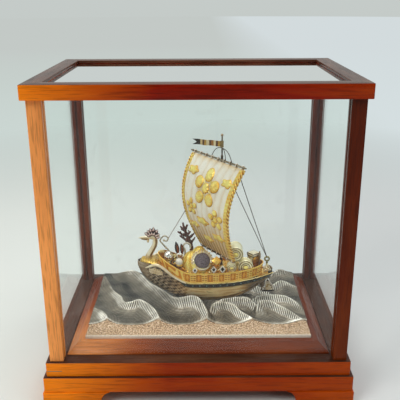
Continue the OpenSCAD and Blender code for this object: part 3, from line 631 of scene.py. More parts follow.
def case():
    frame_of("lower_plinth_rail", (305, 206),
             [(0, FOOT_TOP), (0, PLINTH_TOP), (22, PLINTH_TOP), (22, FOOT_TOP)], 0.9, "lower_plinth")
    frame_of("platform_rail", (262, 170),
             [(0, PLINTH_TOP), (0, 46), (9.5, PLATFORM_TOP), (18, PLATFORM_TOP), (18, 48), (24, 48),
              (24, PLINTH_TOP)], 0.5, "platform_moulding", woods=INNER)
    frame_of("cover_sill", (299, 200),
             [(0, PLINTH_TOP), (0, SILL_TOP), (17.5, SILL_TOP), (17.5, PLINTH_TOP)], 0.8, "sill_{}", "cover")
    frame_of("cover_top", (300, 201),
             [(0, POST_TOP), (0, CASE_TOP), (16.7, CASE_TOP), (16.7, 312.7), (13, 312.7), (13, 310.5),
              (16.7, 310.5), (16.7, POST_TOP)], 0.9, "top_rail_{}", "cover")
    h, groove = POST_SIZE / 2, 1.1
    g = h - 4.2
    plan = fillet([(-h, -h), (h, -h), (h, -groove), (g, -groove), (g, groove), (h, groove), (h, h), (groove, h),
                   (groove, g), (-groove, g), (-groove, h), (-h, h)], 0.7)
    for sx, a in zip(BOTH, ("left", "right")):
        for sy, b in zip(BOTH, ("front", "back")):
            post, foot = f"post_{b}_{a}", f"foot_{b}_{a}"
            bar = prism(plan * (-sx, -sy) + (sx * POST_X, sy * POST_Y), SILL_TOP, POST_TOP)
            piece(post + "_bar", bar, POST, "polished_wood", post, "cover", 30)
            piece(foot + "_bracket", bracket(foot), WOOD[0], "polished_wood", foot, angle=30)
    for k, s in enumerate(BOTH):
        piece(f"corner_key_{k}", moved(block((14.5, 0.5, 0.7), 0.1), (s * 141, s * 99.95, 36.6)), DARK,
              "dark_metal", body="cover")
    dress(PLAIN, "base_panel")
    dress(INNER[0], "platform_panel")
    dress(DARK_CAD, "ship_bolts")
    dress(GLASS, "glass_front", "glass_back", "glass_left", "glass_right")
    dress(TOP_GLASS, "glass_top")


# ---------------- sea and sand

def ends_of(x):
    """How far a station lies towards the bow and towards the stern, 0 to 1."""
    return clip((MID - x) / (MID - BOW), 0, 1), clip((x - MID) / (STERN - MID), 0, 1)


def keel(x):
    fore, aft = ends_of(x)
    return 5 + where(x < MID, 45 * (1 - (1 - minimum(fore, 0.996) ** 1.7) ** 0.55), 33 * aft ** 2.5)


def sheer(x):
    return 34 + where(x < MID, 19.5 * smooth(-x, 7, 42), 7 * ends_of(x)[1] ** 2)


def half_beam(x):
    fore, aft = ends_of(x)
    return BEAM * where(x < MID, (1 - minimum(fore, 0.985) ** 2.6) ** 0.6, 1 - 0.68 * aft ** 2.4)


def half_at(x, z):
    return half_beam(x) * clip((z - keel(x)) / (sheer(x) - keel(x)), 0, 1) ** (1 / 2.3)


def hull_z(x, s):
    return mix(keel(x), sheer(x), abs(s) ** 2.3)


def hull_over(x, y):
    """Height of the hull's underside, out of reach beside it."""
    s = clip(abs(y) / half_beam(x), 0, 1)
    return where((x <= BOW) | (x >= STERN) | (s >= 1), 99, hull_z(x, s))


def front_edge(x):
    """The scalloped front edge of the sea."""
    return -48.5 + 6.5 * (1 - abs(sin(pi * (x + 43.5) / 52))) ** 1.1


# Crest lines of the sea from left to right: x, y and height of each point
CRESTS = (
    ((-114, -16, 3.5), (-105, -26, 6), (-99, -36, 6), (-96.5, -43, 4)),
    ((-113, 58, 2), (-100, 25, 4), (-92, 12, 5), (-87, 4, 5.5), (-82, -10, 6.5), (-75, -13.5, 8),
     (-65, -11, 9.5), (-53, -21, 9), (-45, -33, 7), (-41, -44, 4)),
    ((-92, 68, 3), (-80, 66, 6), (-70, 57, 6), (-58, 38, 5), (-48, 24, 7), (-38, 11, 8), (-28, -4, 9),
     (-18, -14, 14), (-8, -16.5, 17), (0, -18.5, 16), (6, -25, 11), (9.5, -35, 7), (9, -43, 4)),
    ((12.5, -33, 3), (15.6, -20, 8), (24, -16.5, 9.5), (33, -19, 9.5), (40, -24.5, 9), (46, -34, 7),
     (55, -42, 5), (60, -46, 2.5)),
    ((63, -27, 3), (67, -13.5, 8), (78.8, -14.5, 9.5), (86.8, -23.6, 9), (96, -32, 8), (105.5, -39, 6),
     (112, -44, 3)),
    ((20, -14, 6), (28, -12.5, 11), (41, -11, 12.5), (54, -10, 11), (60, -14, 8), (66, -20, 4)),
    ((64, -1, 5), (67, 1, 7), (80.6, 2.3, 8), (93.5, 0.3, 8), (107.5, -6, 7), (113, -17, 5)),
    ((84, 28, 4), (94, 35, 7), (104, 36.5, 7.5), (114, 31, 6)),
    ((88, 56, 3), (92, 62, 5), (100, 66.5, 7), (110, 66, 6), (115, 60, 4)),
    ((-24, 68, 4), (-8, 52, 6), (6, 36, 7), (14, 26, 9), (26, 21, 10), (38, 22, 9), (48, 30, 5)),
    ((30, 68, 4), (44, 50, 6), (56, 36, 7), (66, 24, 8), (78, 16, 6)))


def crest_field(x, y):
    """Rise of the crests, and for the one that shapes each place: distance, front side, run and height."""
    best = [full(x.shape, v) for v in (0.0, 99.0, 0.0, 0.0, 0.0)]
    for points in CRESTS:
        line = spline(points, 9 * len(points))
        start = 0.0
        near = [full(x.shape, v) for v in (999.0, 0.0, 0.0, 0.0)]
        for p, q in zip(line[:-1], line[1:]):
            dx, dy = q[0] - p[0], q[1] - p[1]
            size = np.hypot(dx, dy)
            t = clip(((x - p[0]) * dx + (y - p[1]) * dy) / size ** 2, 0, 1)
            ex, ey = x - p[0] - t * dx, y - p[1] - t * dy
            here = np.hypot(ex, ey), dx * ey - dy * ex < 0, start + t * size, mix(p[2], q[2], t)
            on = here[0] < near[0]
            near = [where(on, new, old) for new, old in zip(here, near)]
            start += size
        gap, front, _, tall = near
        rise = tall * where(front > 0, clip(1 - gap / 21, 0, 1) ** 2.3, clip(1 - gap / 14, 0, 1) ** 2)
        on = rise > best[0]
        best = [where(on, new, old) for new, old in zip((rise, *near), best)]
    return best


def sea_height(x, y):
    """Height and tint of the cast sea, with teeth combed down from the crests; the tint holds painted shade and
    painted highlights.
    """
    x, y = np.broadcast_arrays(x, y)
    rise, gap, front, run, tall = crest_field(x, y)
    bed = 10 * smooth(x, -36, 10) * smooth(-x, -68, 10)
    bed = bed * (1 - smooth(abs(y), half_at(x, 12), 10))
    ends = mix(0.25, 1, smooth(-abs(x), -BOARD_X, 20))
    z = 1.2 + 2.2 * smooth(y, 12, 50) + 1.2 * (1 - ends) + maximum(ends * rise, bed)
    edge = smooth(y, front_edge(x), 7)
    tooth = abs(sin(pi * (x - 0.32 * y + 0.12 * run) / 2.45)) ** 1.7
    band = front * smooth(gap / 1.2) * (1 - smooth(gap, 4, 4.5)) * smooth(tall, 3, 2.5) * edge * ends
    rim = bell(gap / 0.9) * smooth(tall, 2, 2) * ends
    lines = sin(TURN * gap / 3.1 + 1.5 * sin(0.21 * run)) * (1 - band)
    flow = sin(TURN * (run + 0.25 * gap) / 2.9) * (1 - band) * smooth(gap, 3, 5)
    z = z + band * (1.6 * tooth - 0.95) + 0.3 * rim + (0.09 * lines + 0.06 * flow) * edge
    for beside in (0, 2):
        z = minimum(z, hull_over(x, maximum(abs(y) - beside, 0)) - 1.2)
    # Painted shade: darker away from the crest on its front slope, and on the back slope
    tint = 0.52 - 0.2 * smooth(gap, 4, 16) * front - 0.24 * (1 - front) * smooth(gap / 3)
    tint = tint + 0.06 * lines + 0.04 * flow
    tint = tint + 0.07 * sin(0.11 * x + 0.19 * y + 1.3 * sin(0.07 * x)) * sin(0.16 * x - 0.09 * y)
    astern = smooth(y, -8, 24)
    # Painted highlight on the crest line (rim) and the combed teeth, painted shade in the gaps; darker and
    # duller towards the back
    tint = tint - 0.1 * astern + 0.3 * rim + mix(1, 0.7, astern) * band * (1.6 * tooth - 0.62)
    return maximum(1, z), clip(tint, 0, 1)


def slab(top, foot, tone, foot_tone):
    """A skin over a modelled top, down to a flat foot."""
    low = top * (1, 1, 0) + (0, 0, foot)
    return skin(*(concatenate([q[:, :1], p, q[:, -1:]], 1) for p, q in ((top, low), (tone, foot_tone))))


def sea():
    x = linspace(-BOARD_X, BOARD_X, 430)[:, None]
    t = linspace(0, 1, 230)[None, :]
    y = mix(front_edge(x), BOARD_Y, t)
    z, tint = sea_height(x, y)
    # Painted highlight along the front edge of the top, painted shade at the foot
    casting = slab(grid(x, y, z), 0, clip(tint + 0.5 * bell(43 * t), 0, 1), 0.6 * tint)
    aboard("sea_casting", casting, SEA, "sea_metal", "wave_casting", angle=60)


def sand():
    xs = linspace(-BOARD_X, BOARD_X, 260)[:, None]
    x, y = np.broadcast_arrays(xs, linspace(-BOARD_Y, BOARD_Y, 150)[None, :])
    gap = front_edge(x) - y
    rise = sea_height(xs, front_edge(xs) + 0.1)[0]
    bank = where(gap > 0, 0.7 * rise * bell(gap / 6.5), 0)
    rough = RNG.normal(0, 0.16, x.shape)
    rim = minimum(smooth(y, -BOARD_Y, 1.2), smooth(-abs(x), -BOARD_X, 1.2))
    z = AFLOAT + where(gap > -0.5, bank + rough * (gap > 0), -0.05) * rim - 0.12 * (1 - rim)
    tint = 1 - 0.8 * bell((y + BOARD_Y) / 1.4) * (gap > 0)
    piece("sand_bed", slab(grid(x, y, z), PLATFORM_TOP, tint, tint), SAND, "sand", "sand_board", angle=60)


# ---------------- hull

def on_side(x, z, out):
    """Points a distance out from the hull's near side."""
    return grid(x, -(half_at(x, z) + out), z)


def both_sides(shape):
    return join(shape, (shape[0] * (1, -1, 1), shape[1], shape[2]))


def hull():
    t = linspace(0, 1, 170)[:, None]
    s = sin(linspace(-pi / 2, pi / 2, 91))[None, :]
    x, s = np.broadcast_arrays(-65.9 + 147.9 * (1 - cos(t * pi / 2)), s)
    z = hull_z(x, s)
    out = grid(x, half_beam(x) * s, z)
    away = np.cross(np.gradient(out, axis=0), np.gradient(out, axis=1))
    away = away / maximum(np.linalg.norm(away, axis=2, keepdims=True), 1e-9)
    away = away * np.sign((away * (out - (MID, 0, 34))).sum(-1, keepdims=True))
    fore, breast = smooth(-x, 4, 18), smooth(-x, 50, 8)
    deep = sheer(x) - z + 0.5 * sin(0.33 * x)
    row = floor(deep / 1.8)
    dash = smooth((sin(TURN * x / 5.6 + 2.3 * row + 0.9 * sin(1.7 * row)) + 0.8) / 1.1)
    stroke = sin(pi * frac(deep / 1.8)) ** 0.7 * dash
    line = bell(z - keel(x) - 6.5) * (1 - fore) * smooth(-x, -74, 8)
    under = smooth(sheer(x) - z, 1.5, 2.5) * (1 - breast)
    out = out + away * (under * (0.4 * fore * stroke - 0.35 * line))[..., None]
    wander = 1.6 * sin(0.09 * x + 0.8) + 0.9 * sin(0.21 * x + 0.5 * z)
    swirl = sin(TURN * (z + wander) / 4.8) * (0.6 + 0.4 * sin(0.17 * x + 1.1))
    # Painted shade in the groove line near the keel aft
    tint = mix(mix(0.82 + 0.2 * swirl, 0.16 + 0.66 * stroke, fore), 0.62 + 0.1 * swirl, breast) - 0.5 * line
    # Painted shade: darker towards the keel at the bow and darker towards the stern
    tint = clip(tint, 0, 1) * mix(0.7, 1, maximum(smooth((z - keel(x)) / 12 + 0.15), 1 - fore))
    tint = tint * mix(1, 0.55, smooth(x, 42, 16))
    inner = grid(x, maximum(half_beam(x) - 1, 0.3) * s, minimum(z + 1 - s ** 4, sheer(x)))[:, ::-1]
    # Painted shade: the inner face is darker
    aboard("hull", shell(out, inner, tint, tint[:, ::-1] * 0.4), HULL, "gold", "hull_shell")


def gunwale():
    x = linspace(-24, 81.6, 120)
    wide = minimum(5.4, sheer(x) - keel(x) - 1.5) * smooth(x, -26, 12)
    face = [(k, 0.55 + 0.45 * sin(pi * k) ** 0.35) for k in (0, 0.06, 0.12, 0.5, 0.88, 0.94, 1)]
    band = [on_side(x, sheer(x) - 0.2 - wide * k, out) for k, out in (*face, (1, 0.1), (0, 0.1))]
    aboard("gunwale_strip", both_sides(skin(stack(band, 1))), ENAMEL, "enamel", "gunwale_band")
    rims = []
    for low, high, depth, out, r, n, tint in ((-26, 82, 0, 0.85, 0.45, 10, 0.75),
                                              (-16, 76, 5.8, 0.55, 0.35, 8, 0.25)):
        x = linspace(low, high, 120)
        rims.append(tube(on_side(x, sheer(x) - depth, out), r, n, tint=tint))
    aboard("gunwale_rims", both_sides(join(*rims)), PALE, "pale_gold")
    stud = lathe([(0, 0.75), (0.25, 0.7), (0.3, 0.45), (0.42, 0.45), (0.55, 0.75), (0.7, 0.6), (0.8, -0.3),
                  (0, -0.3)], 16)
    x = arange(-13, 78, 7.4)
    studs = [moved(stud, at, turn_xyz(90)) for at in on_side(x, sheer(x) - 2.8, 0.9)]
    aboard("gunwale_studs", both_sides(join(*studs)), GLAZE, "enamel", "band_studs")


def bulwark():
    """An oval wall: panels and lattice along the sides, scrolls round the fore end."""
    t = ring(1000).T
    x = 14 - 56 * cos(t)
    y = (half_beam(x) - 0.7) * sqrt(clip(1 - cos(t) ** 8, 0, 1)) * where(t > pi, 1, -1)
    plan = concatenate([x, y], 1)
    d = np.roll(plan, -2, 0) - np.roll(plan, 2, 0)
    d /= maximum(np.linalg.norm(d, axis=1), 1e-9)[:, None]
    run = run_of(plan)
    run = minimum(run, run[-1] - run)
    k = linspace(0, 1, 33)[None, :]
    f, latticed = frac(run / 6.1), floor(run / 6.1) % 2 > 0
    edges = maximum(smooth(k, 0.86, 0.04), smooth(-k, -0.13, 0.04))
    bars = maximum(smooth(abs(frac(2 * f) - 0.5), 0.36, 0.1), smooth(abs(frac(5 * k) - 0.5), 0.22, 0.1))
    lozenge = smooth((0.4 - abs(f - 0.5) * 1.3 - abs(k - 0.5)) / 0.12)
    curl = smooth((sin(0.62 * (run - 8 * k) + 2.4 * sin(0.33 * run + 3.2 * k) + 2.2 * k) + 0.1) / 0.5)
    ahead = smooth(-x, 12, 5)
    stile = smooth(abs(f - 0.5), 0.43, 0.03) * (1 - ahead)
    work = mix(where(latticed, 0.42 * bars, 0.3 * lozenge), 0.45 * curl, ahead)
    tone = mix(where(latticed, 0.32 + 0.66 * bars, 0.4 + 0.22 * lozenge), 0.5 + 0.48 * curl, ahead)
    work = maximum(maximum(work, 0.6 * edges), 0.3 * stile)
    tone = maximum(maximum(tone, 0.95 * edges), 0.6 * stile)
    z = sheer(x) + mix(0.15, 12 * mix(1, 0.86, smooth(-x, 15, 25)), k)
    outer, inner = (grid(x + d[:, 1:] * off, y - d[:, :1] * off, z)
                    for off in (1.6 * k + work - 0.25, 1.6 * k - 0.9))
    aboard("bulwark_wall", shell(outer, inner[:, ::-8], tone, 0.45, close=True), WALL, "gold", "bulwark")


def bow():
    x = linspace(-57, -13, 70)
    z = sheer(x) + interp(x, [-57, -53, -49, -45, -41, -36, -29, -20, -13],
                          [-5.6, -3.2, -0.9, 1.0, 1.3, 0.7, -0.9, -0.5, -0.3])
    wide = interp(x, [-57, -52, -44, -36, -13], [0.6, 1.35, 1.65, 1.5, 0.85])
    flute = cos(5 * ring(24))
    band = tube(on_side(x, z, 0.9), wide, 24, flat=0.8, relief=1 + 0.06 * flute, tint=0.9 + 0.1 * flute)
    aboard("bow_trim_strips", both_sides(band), IVORY, "silver", "bow_trim")
    shadow = tube(on_side(x, z - wide - 0.5, 0.3)[4:], 0.5, 8, tint=0.15)
    aboard("bow_trim_shadow_line", both_sides(shadow), DARK, "dark_metal")
    x = linspace(-53, -38, 40)[:, None]
    deep = linspace(0, 1, 24)[None, :] * maximum(7.5 - 0.045 * (x + 46) ** 2, 0.2)
    z = sheer(x) - 4.2 - 1.2 * smooth(-x, 46, 6) - deep
    feather, shade = scales(x + 0.7 * z, z - 0.4 * x, 2.7, 2.2)
    breast = shell(on_side(x, z, 0.35 + 0.5 * feather), on_side(x, z, -0.2)[:, [-1, 0]], shade, 0.3)
    aboard("breast_scales", both_sides(breast), IVORY, "pale_gold")
    x = linspace(-63.5, -40, 36)[:, None]
    s = linspace(-1, 1, 31)[None, :]
    half = maximum(half_at(x, sheer(x) - 0.6) - 1.2, 0.3)
    dome = (1 - s ** 2) ** 0.6 * 4.4 * smooth(x, -64, 3.5) * (1 - 0.5 * smooth(x, -52, 10))
    groove = 0.5 + 0.5 * cos(TURN * x / 2.6 + 2 * abs(s))
    back = shell(grid(x, half * s, sheer(x) - 0.5 + dome + 0.08 * groove),
                 grid(x, half * s[:, ::-15], sheer(x) - 1), 0.4 + 0.16 * groove, 0.3)
    aboard("bow_back", back, PALE, "silver")
    hook = spline([(-30, 0, 46), (-30.6, 0, 62), (-35, 0, 68), (-40.5, 0, 75), (-40.6, 0, 77.4), (-37.6, 0, 81),
                   (-35, 0, 81.4), (-32.6, 0, 79.4), (-32.6, 0, 77), (-34.4, 0, 75.4), (-36.8, 0, 76.4)], 90)
    beads = ball((-36.9, 0, 76.4), 1.2, 14), ball((-35, 0, 68), 1.25, 14)
    aboard("bow_hook", [tube(hook, linspace(0.8, 0.7, 90), 12, tint=0.78), *beads], BRONZE, "silver",
           "bow_scroll")
    leaf = tube([(0, 0, 0), (0, 0, 1.4), (0, 0, 2.8), (0, 0, 3.8)], [0.8, 1.3, 1.0, 0.15], 10, flat=0.5,
                up=SIDEWAYS)
    fan = [moved(leaf, (-39.5, 0, 62), turn_xyz(0, q, 0)) for q in range(-60, 61, 30)]
    aboard("bulwark_fore_cap", fan, PALE, "pale_gold")


def figurehead():
    collar = [lathe([(4.9, -0.9), (7, -0.9), (7, 0.1), (6.5, 0.7), (5.6, 0.9), (4.9, 0.8), (4.9, -0.9)], 48)]
    for k in range(28):
        odd = k % 2
        leaf = tube([(0, 0, 0), (0, 0, 0.9), (0, 0, 1.9), (0.2, 0, 2.8 + 0.5 * odd)], [0.7, 0.85, 0.6, 0.08], 8,
                    flat=0.5, up=BACKWARDS, tint=array([[0.4], [0.7], [1], [1]]))
        leaf = moved(leaf, (5.9 + 0.5 * odd, 0, -0.2), turn_xyz(0, 38 if odd else 20, 0))
        collar.append(moved(leaf, turn=turn_xyz(0, 0, 360 / 28 * k)))
    aboard("neck_collar_leaves", moved(join(*collar), (-54, 0, sheer(-54))), PALE, "pale_gold", "neck_collar")

    neck = spline([(-54, 0, 52.4, 4.6), (-53.9, 0, 56, 4), (-52.4, 0, 61, 3.2), (-49.6, 0, 66, 2.9),
                   (-47.2, 0, 70.6, 2.7), (-46.4, 0, 74.4, 2.7), (-46.4, 0, 78.5, 2.6)], 70)
    far, ang = run_of(neck[:, :3]), ring(36)
    lift, shade = scales(ang * 1.91, -far, 2.0, 2.2)
    root = 1 - smooth(far, 5, 5)
    flute = 0.5 + 0.5 * cos(9 * ang + 0.12 * far)
    # Painted light and shade: lit on the left with a highlight, a dark band on the right, a lighter rim beyond;
    # darker at the scaled root
    face = interp(cos(ang), [-1, -0.8, -0.5, -0.2, 0.1, 0.6, 1], [0.55, 0.42, 0.06, 0.25, 0.8, 1, 0.75])
    tint = clip(mix(face + 0.15 * (flute - 0.5), mix(face, shade, 0.5) * 0.6, root), 0.04, 1)
    neck = tube(neck[:, :3], neck[:, 3], 36, tint=tint, up=BACKWARDS,
                relief=0.98 + 0.03 * flute + 0.07 * root * lift)
    aboard("figurehead_neck_cast", neck, IVORY, "silver", "figurehead_neck")

    head = [rod([(-42.8, 0, 79, 1), (-44.4, 0, 80.2, 2.6), (-47, 0, 81, 3.3), (-50, 0, 81.2, 3.5),
                 (-52.6, 0, 80.9, 3), (-54.6, 0, 80.5, 2), (-55.6, 0, 80.4, 0.6)],
                50, 20, flat=0.82, tint=0.85)]
    eye = lathe([(0, 0.5), (0.4, 0.4), (0.5, 0.05), (0.8, 0.15), (0.95, -0.4), (0, -0.4)], 14,
                tint=[0.1, 0.1, 0.1, 1, 1, 1])
    for s in BOTH:
        head += [ball((-54, s * 1.5, 76.2), 1.2, 12, 1.5, 0.6),
                 moved(eye, (-51.4, s * 2.6, 81.8), turn_xyz(-s * 80))]
    aboard("figurehead_head_cast", head, IVORY, "silver", "figurehead_head")
    # Painted highlight on top of the bill, painted shade on the jaw under it
    bill = rod([(-53, 0, 80.2, 2.6), (-56, 0, 80.2, 1.9), (-59, 0, 80, 1.4), (-61.6, 0, 79.8, 1),
                (-64.2, 0, 79.3, 0.35)], 40, 16, flat=0.85, tint=0.7 + 0.3 * sin(ring(16)))
    jaw = rod([(-53, 0, 78.4, 1.9), (-57, 0, 77.9, 1.2), (-60, 0, 78, 0.7), (-62, 0, 78.3, 0.25)], 24, 12,
              flat=0.85, tint=0.2)
    aboard("figurehead_beak", [bill, jaw], IVORY, "pale_gold")

    petals = []
    k = linspace(0, 1, 16)
    wide = mix(0.8, 1.95, sin(pi * clip(0.98 * k, 0, 1)) ** 1.2) * (1 - 0.7 * smooth(k, 0.75, 0.25))
    # Painted shade at the foot and along the edges of each petal, lighter towards the tip
    painted_edge_shade = 0.97 * smooth(abs(sin(ring(18))), 0.38, 0.35)
    tone = clip(mix(0.05, 1, smooth(k, 0.38, 0.3))[:, None] * (1 - painted_edge_shade), 0.02, 1)
    fan = [(0, -61, 7.6), (0, -37, 7.4), (0, -15, 8.1), (0, 6, 9.1), (0, 34, 7.9), (0, 66, 6.3), (0, 92, 5.8)]
    fan += [(s, a, 6.4) for s in (-30, 30) for a in (-49, -26, -4, 20, 50, 78)]
    for side, a, reach in fan:
        path = grid(0, 1.2 * sin(2.8 * k) * np.sign(-side), 2.6 + reach * k)
        petal = tube(path, wide, 18, flat=0.4, up=SIDEWAYS, tint=tone)
        petals.append(moved(petal, (-49, 0, 80.4), turn_xyz(side, a, 0)))
    aboard("crest_petals", petals, COPPER, "copper", "figurehead_crest")


def stern():
    dress(DARK_CAD, "rudder_bearing", "rudder_stock")
    dress(GOLD_CAD, "deck_plate")
    low = [(q, sheer(q) + 0.02) for q in (71.8, 76, 80.6)]
    panel = plate(fillet(low + [(78.6, 45), (76.6, 47.6), (71.8, 43.4)], 0.4, 2), array([76, 42.6]),
                  [(0.05, 1.5, 0.95), (0.6, 1.6, 0.4), (0.72, 2.05, 0.8), (1, 2, 1)])
    bosses = [ball((x, y, z), r, 12, 1, 0.9) for y in (-1.7, 1.7) for x, z, r in (
        (75, 44.2, 1.1), (77, 42.4, 1.2), (74.2, 41.2, 1.2), (79, 41.7, 0.8))]
    aboard("stern_panel", [panel, *bosses], IVORY, "silver", "stern_fittings")
    curl = rod([(76.8, 0, 46.2, 0.8), (78.9, 0, 45.4, 0.9), (80.4, 0, 43.9, 1), (80.9, 0, 42.7, 1.1)], 30, 12)
    spike = lathe([(0, 37.4), (1.1, 37.4), (1.0, 52), (0.7, 53.4), (1.25, 55.4), (1.4, 58.6), (1.2, 60.6),
                   (0.6, 61.4), (0.8, 62.2), (0.5, 63.2), (0, 63.4)], 20)
    aboard("stern_spike", [moved(spike, (67.4, 0, 0)), curl, ball((80.9, 0, 42.9), 1.25, 14)], DARK,
           "dark_metal")
    post = moved(lathe([(0, 38.7), (1.1, 38.7), (1.1, 49.4), (0, 49.7)], 20), (75.6, 0, 0))
    eye = tube(arc((75.6, 0, 54), 2.4, ring(40)[0]), 0.9, 12, loop=True, tint=0.6)
    knot = ball((75.6, 0, 51.2), 1.3, 14, 0.9, 0.6), ball((75.6, 0, 49.4), 1.25, 14, 0.6, 0.5)
    aboard("stern_ring", [post, eye, *knot], OLIVE, "gold")


def rudder():
    outline = fillet([(71.6, 15), (84.4, 15), (82.6, 22.6), (80.2, 25.2), (78.2, 29.2), (77, 30.4),
                      (75.4, 29.2), (74.2, 26.4), (74.2, 20.2), (71.6, 20.2)], 0.5, 2)
    edge = plate(outline, array([78.2, 20.4]),
                 [(0.7, 0.55, 0.45), (0.84, 0.6, 0.5), (0.9, 0.95, 0.95), (1, 0.95, 1)])
    eye = tube(arc((76.9, 0, 28.4), 1.5, ring(24)[0]), 0.6, 8, loop=True)
    aboard("rudder_frame", [edge, eye], SILVER, "silver", "rudder_blade", body="rudder")
    pebbles = [ball((x, y, z), 0.75, 10, 1, RNG.uniform(0.35, 1)) for z in arange(17.2, 25, 1.5)
               for x in arange(75.4 + 0.3 * (z % 2), 82.6 - 0.34 * (z - 15), 1.5) for y in (-0.6, 0.6)]
    aboard("rudder_panel", pebbles, IVORY, "pale_gold", body="rudder")
    # Dark discs in the eye as painted shade in its bore
    painted_hole_shade = lathe([(0, 0.1), (0.9, 0.1), (0.9, -0.1), (0, -0.1)], 16, tint=0.1)
    painted_hole_shades = [moved(painted_hole_shade, (76.9, y, 28.4), turn_xyz(90)) for y in (-0.95, 0.95)]
    foot = shaded(moved(block((13.2, 2.3, 1.6), 0.3), (77.9, 0, 15.4)), 0.25)
    aboard("rudder_foot", [foot, *painted_hole_shades], DARK, "dark_metal", body="rudder")


# ---------------- mast, yards and sail

def drop(z):
    return clip((SAIL_TOP - z) / (SAIL_TOP - SAIL_FOOT), 0, 1)


def sail_edge(side, z):
    return mix(-47, -33, drop(z)) if side < 0 else mix(40, 25, drop(z))


def sail_point(a, z, lift):
    """A point a sideways from the mast on the bellied sail, lifted off its face."""
    a, z, lift = np.broadcast_arrays(a, z, lift)
    deep = 2.6 + (18 + 3 * (1 - (a / 50) ** 2) - 0.055 * (a + 42)) * sin(pi * drop(z) ** 0.85) + lift
    return grid(MAST_X, 0, z) + ALONG * a[..., None] + AHEAD * deep[..., None]


def spars():
    r, z = array([(0, 33), (1.5, 33), (1.5, 40), (2, 41), (2, 43), (1.45, 44), (1.35, 100), (1.6, 101),
                  (1.6, 103), (1.35, 104), (1.3, 158), (1.75, 159), (1.75, 165), (1.3, 166), (1.3, 171),
                  (0.78, 171.4), (0.78, 179.4), (0.75, 186.8), (0.75, 191), (0.9, 191.6), (0, 192)]).T
    tone = concatenate([[0.5], 0.55 + 0.4 * (r[1:17] > 1.5), [0.6, 0.6, 0.9, 0.9]])
    pole = moved(lathe(column_stack([r, z]), 24, tint=tone), (MAST_X, 0, 0))
    aboard("mast_pole", [pole, ball((MAST_X, 0, 192.6), 1.4, 20)], DARK, "dark_metal", "mast")
    for name, node, low, high, z, mat in (("yard_spar", "yard", -52.75, 42.75, 167, BRONZE),
                                          ("foot_spar", "lower_yard", -35, 27, 60, DARK)):
        a = linspace(low, high, 120)[:, None]
        edge = minimum(a - low, high - a)
        r = 1.1 * (0.55 + 0.45 * smooth(edge / 3)) + 0.25 * bell((edge - 4) / 0.8)
        tone = 0.5 + 0.3 * sin(a * 1.9) ** 2 + (0.4 * smooth(a, 2, 6) if name == "foot_spar" else 0)
        path = array([MAST_X, 0, z]) + AHEAD * 2.5 + ALONG * a
        aboard(name, tube(path, r, 14, tint=tone), mat, "dark_metal", node)
    dress(WIRE, "rigging_wires")
    dress(CORD_CAD, "lashings")


# Blossoms on the sail: place sideways, height and scale
BLOSSOMS = ((-3, 138, 1.25), (15, 108, 0.7), (-25, 113, 0.6))


def sail():
    f = linspace(0, 1, 111)[None, :]
    z = linspace(SAIL_TOP, SAIL_FOOT, 121)[:, None]
    a = mix(sail_edge(-1, z), sail_edge(1, z), f)
    low = smooth(drop(z), 0.5, 0.45)
    rib = abs(sin(pi * 11 * f)) ** 0.4
    head = bell((SAIL_TOP - z) / 5) * abs(sin(pi * (a + 44) / 10.25))
    pleat = (abs(sin(pi * (8 * f + 0.35 * sin(2.4 * drop(z))))) ** 0.6 - 1) * (1 - low)
    lift = 0.35 + 1.1 * low * (rib - 0.6) + 0.9 * head + 0.5 * pleat
    gilt = sum(exp(-((a - u) ** 2 + (z - v) ** 2) / r ** 2) for (u, v, _), r in zip(BLOSSOMS, (15, 10, 9)))
    # Painted shade in the rib grooves, the pleat folds and under the yard; also darker towards the foot and a
    # little to the right, gilded round the blossoms
    tone = 1.0 - 0.6 * low * (1 - rib) - 0.4 * low - 0.25 * bell((SAIL_TOP - z) / 3)
    tone = tone + 0.2 * pleat - 0.22 * gilt - 0.07 * smooth(f, 0.55, 0.4) * (1 - low)
    front, back = sail_point(a, z, lift), sail_point(a, z, lift - 0.7)[:, ::-1]
    aboard("sail_plate", shell(front, back, tone, tone[:, ::-1] * 0.8), SAIL, "sail_silver", "sail", angle=50)

    ropes, hems = [], []
    for side, r, pitch, wide in ((1, 1.45, 4.2, 4.6), (-1, 1.1, 3.4, 3)):
        h = linspace(SAIL_TOP - 0.6, SAIL_FOOT + 0.6, 260)
        path = sail_point(sail_edge(side, h) + side, h, 0)
        twist = cos(2 * ring(16) - TURN * run_of(path) / pitch)
        # Lighter on the rope's strands, painted shade in its twist
        ropes.append(tube(path, r, 16, relief=1 + 0.24 * twist, tint=0.64 + 0.36 * twist, up=ALONG))
        h = linspace(SAIL_TOP - 1, SAIL_FOOT + 1, 150)[:, None]
        rise = array([0.1, 0.75, 0.6, 0.75, 0.1]) + 0.25 * sin(h * 1.7)
        a = sail_edge(side, h) - side * (0.4 + wide * array([0.0, 0.12, 0.5, 0.88, 1.0]))
        face, under = sail_point(a, h, 0.35 + rise), sail_point(a[:, [-1, 0]], h, 0.1)
        # Lighter on the raised hem, painted shade on its low parts
        hems.append(shell(face, under, 0.45 + 0.5 * rise, 0.3))
    aboard("sail_ropes", ropes, GOLD, "gold", "sail_borders")
    aboard("sail_hems", hems, BRIGHT, "gold")


def plaque(a, z, outline, rise, veins):
    """A domed form on the sail from an outline about (a, z)."""
    u, v = outline.T
    k = array([[0.02, 0.25, 0.5, 0.7, 0.84, 0.93, 1.0, 1.0]]).T
    h = array([[1, 0.97, 0.86, 0.68, 0.48, 0.28, 0.1, -0.3 / rise]]).T
    ang = np.arctan2(v, u)
    vein = veins * cos(9 * ang) * (k * (1 - k))
    # Painted light: lighter on the high parts and the upper side; painted shade at the rim
    tone = 0.25 + 0.7 * maximum(h, 0) ** 0.6 + 0.6 * vein + 0.2 * sin(ang) * k
    return skin(sail_point(a + k * u, z + k * v, 0.5 + rise * (h + vein)), clip(tone, 0.05, 1))


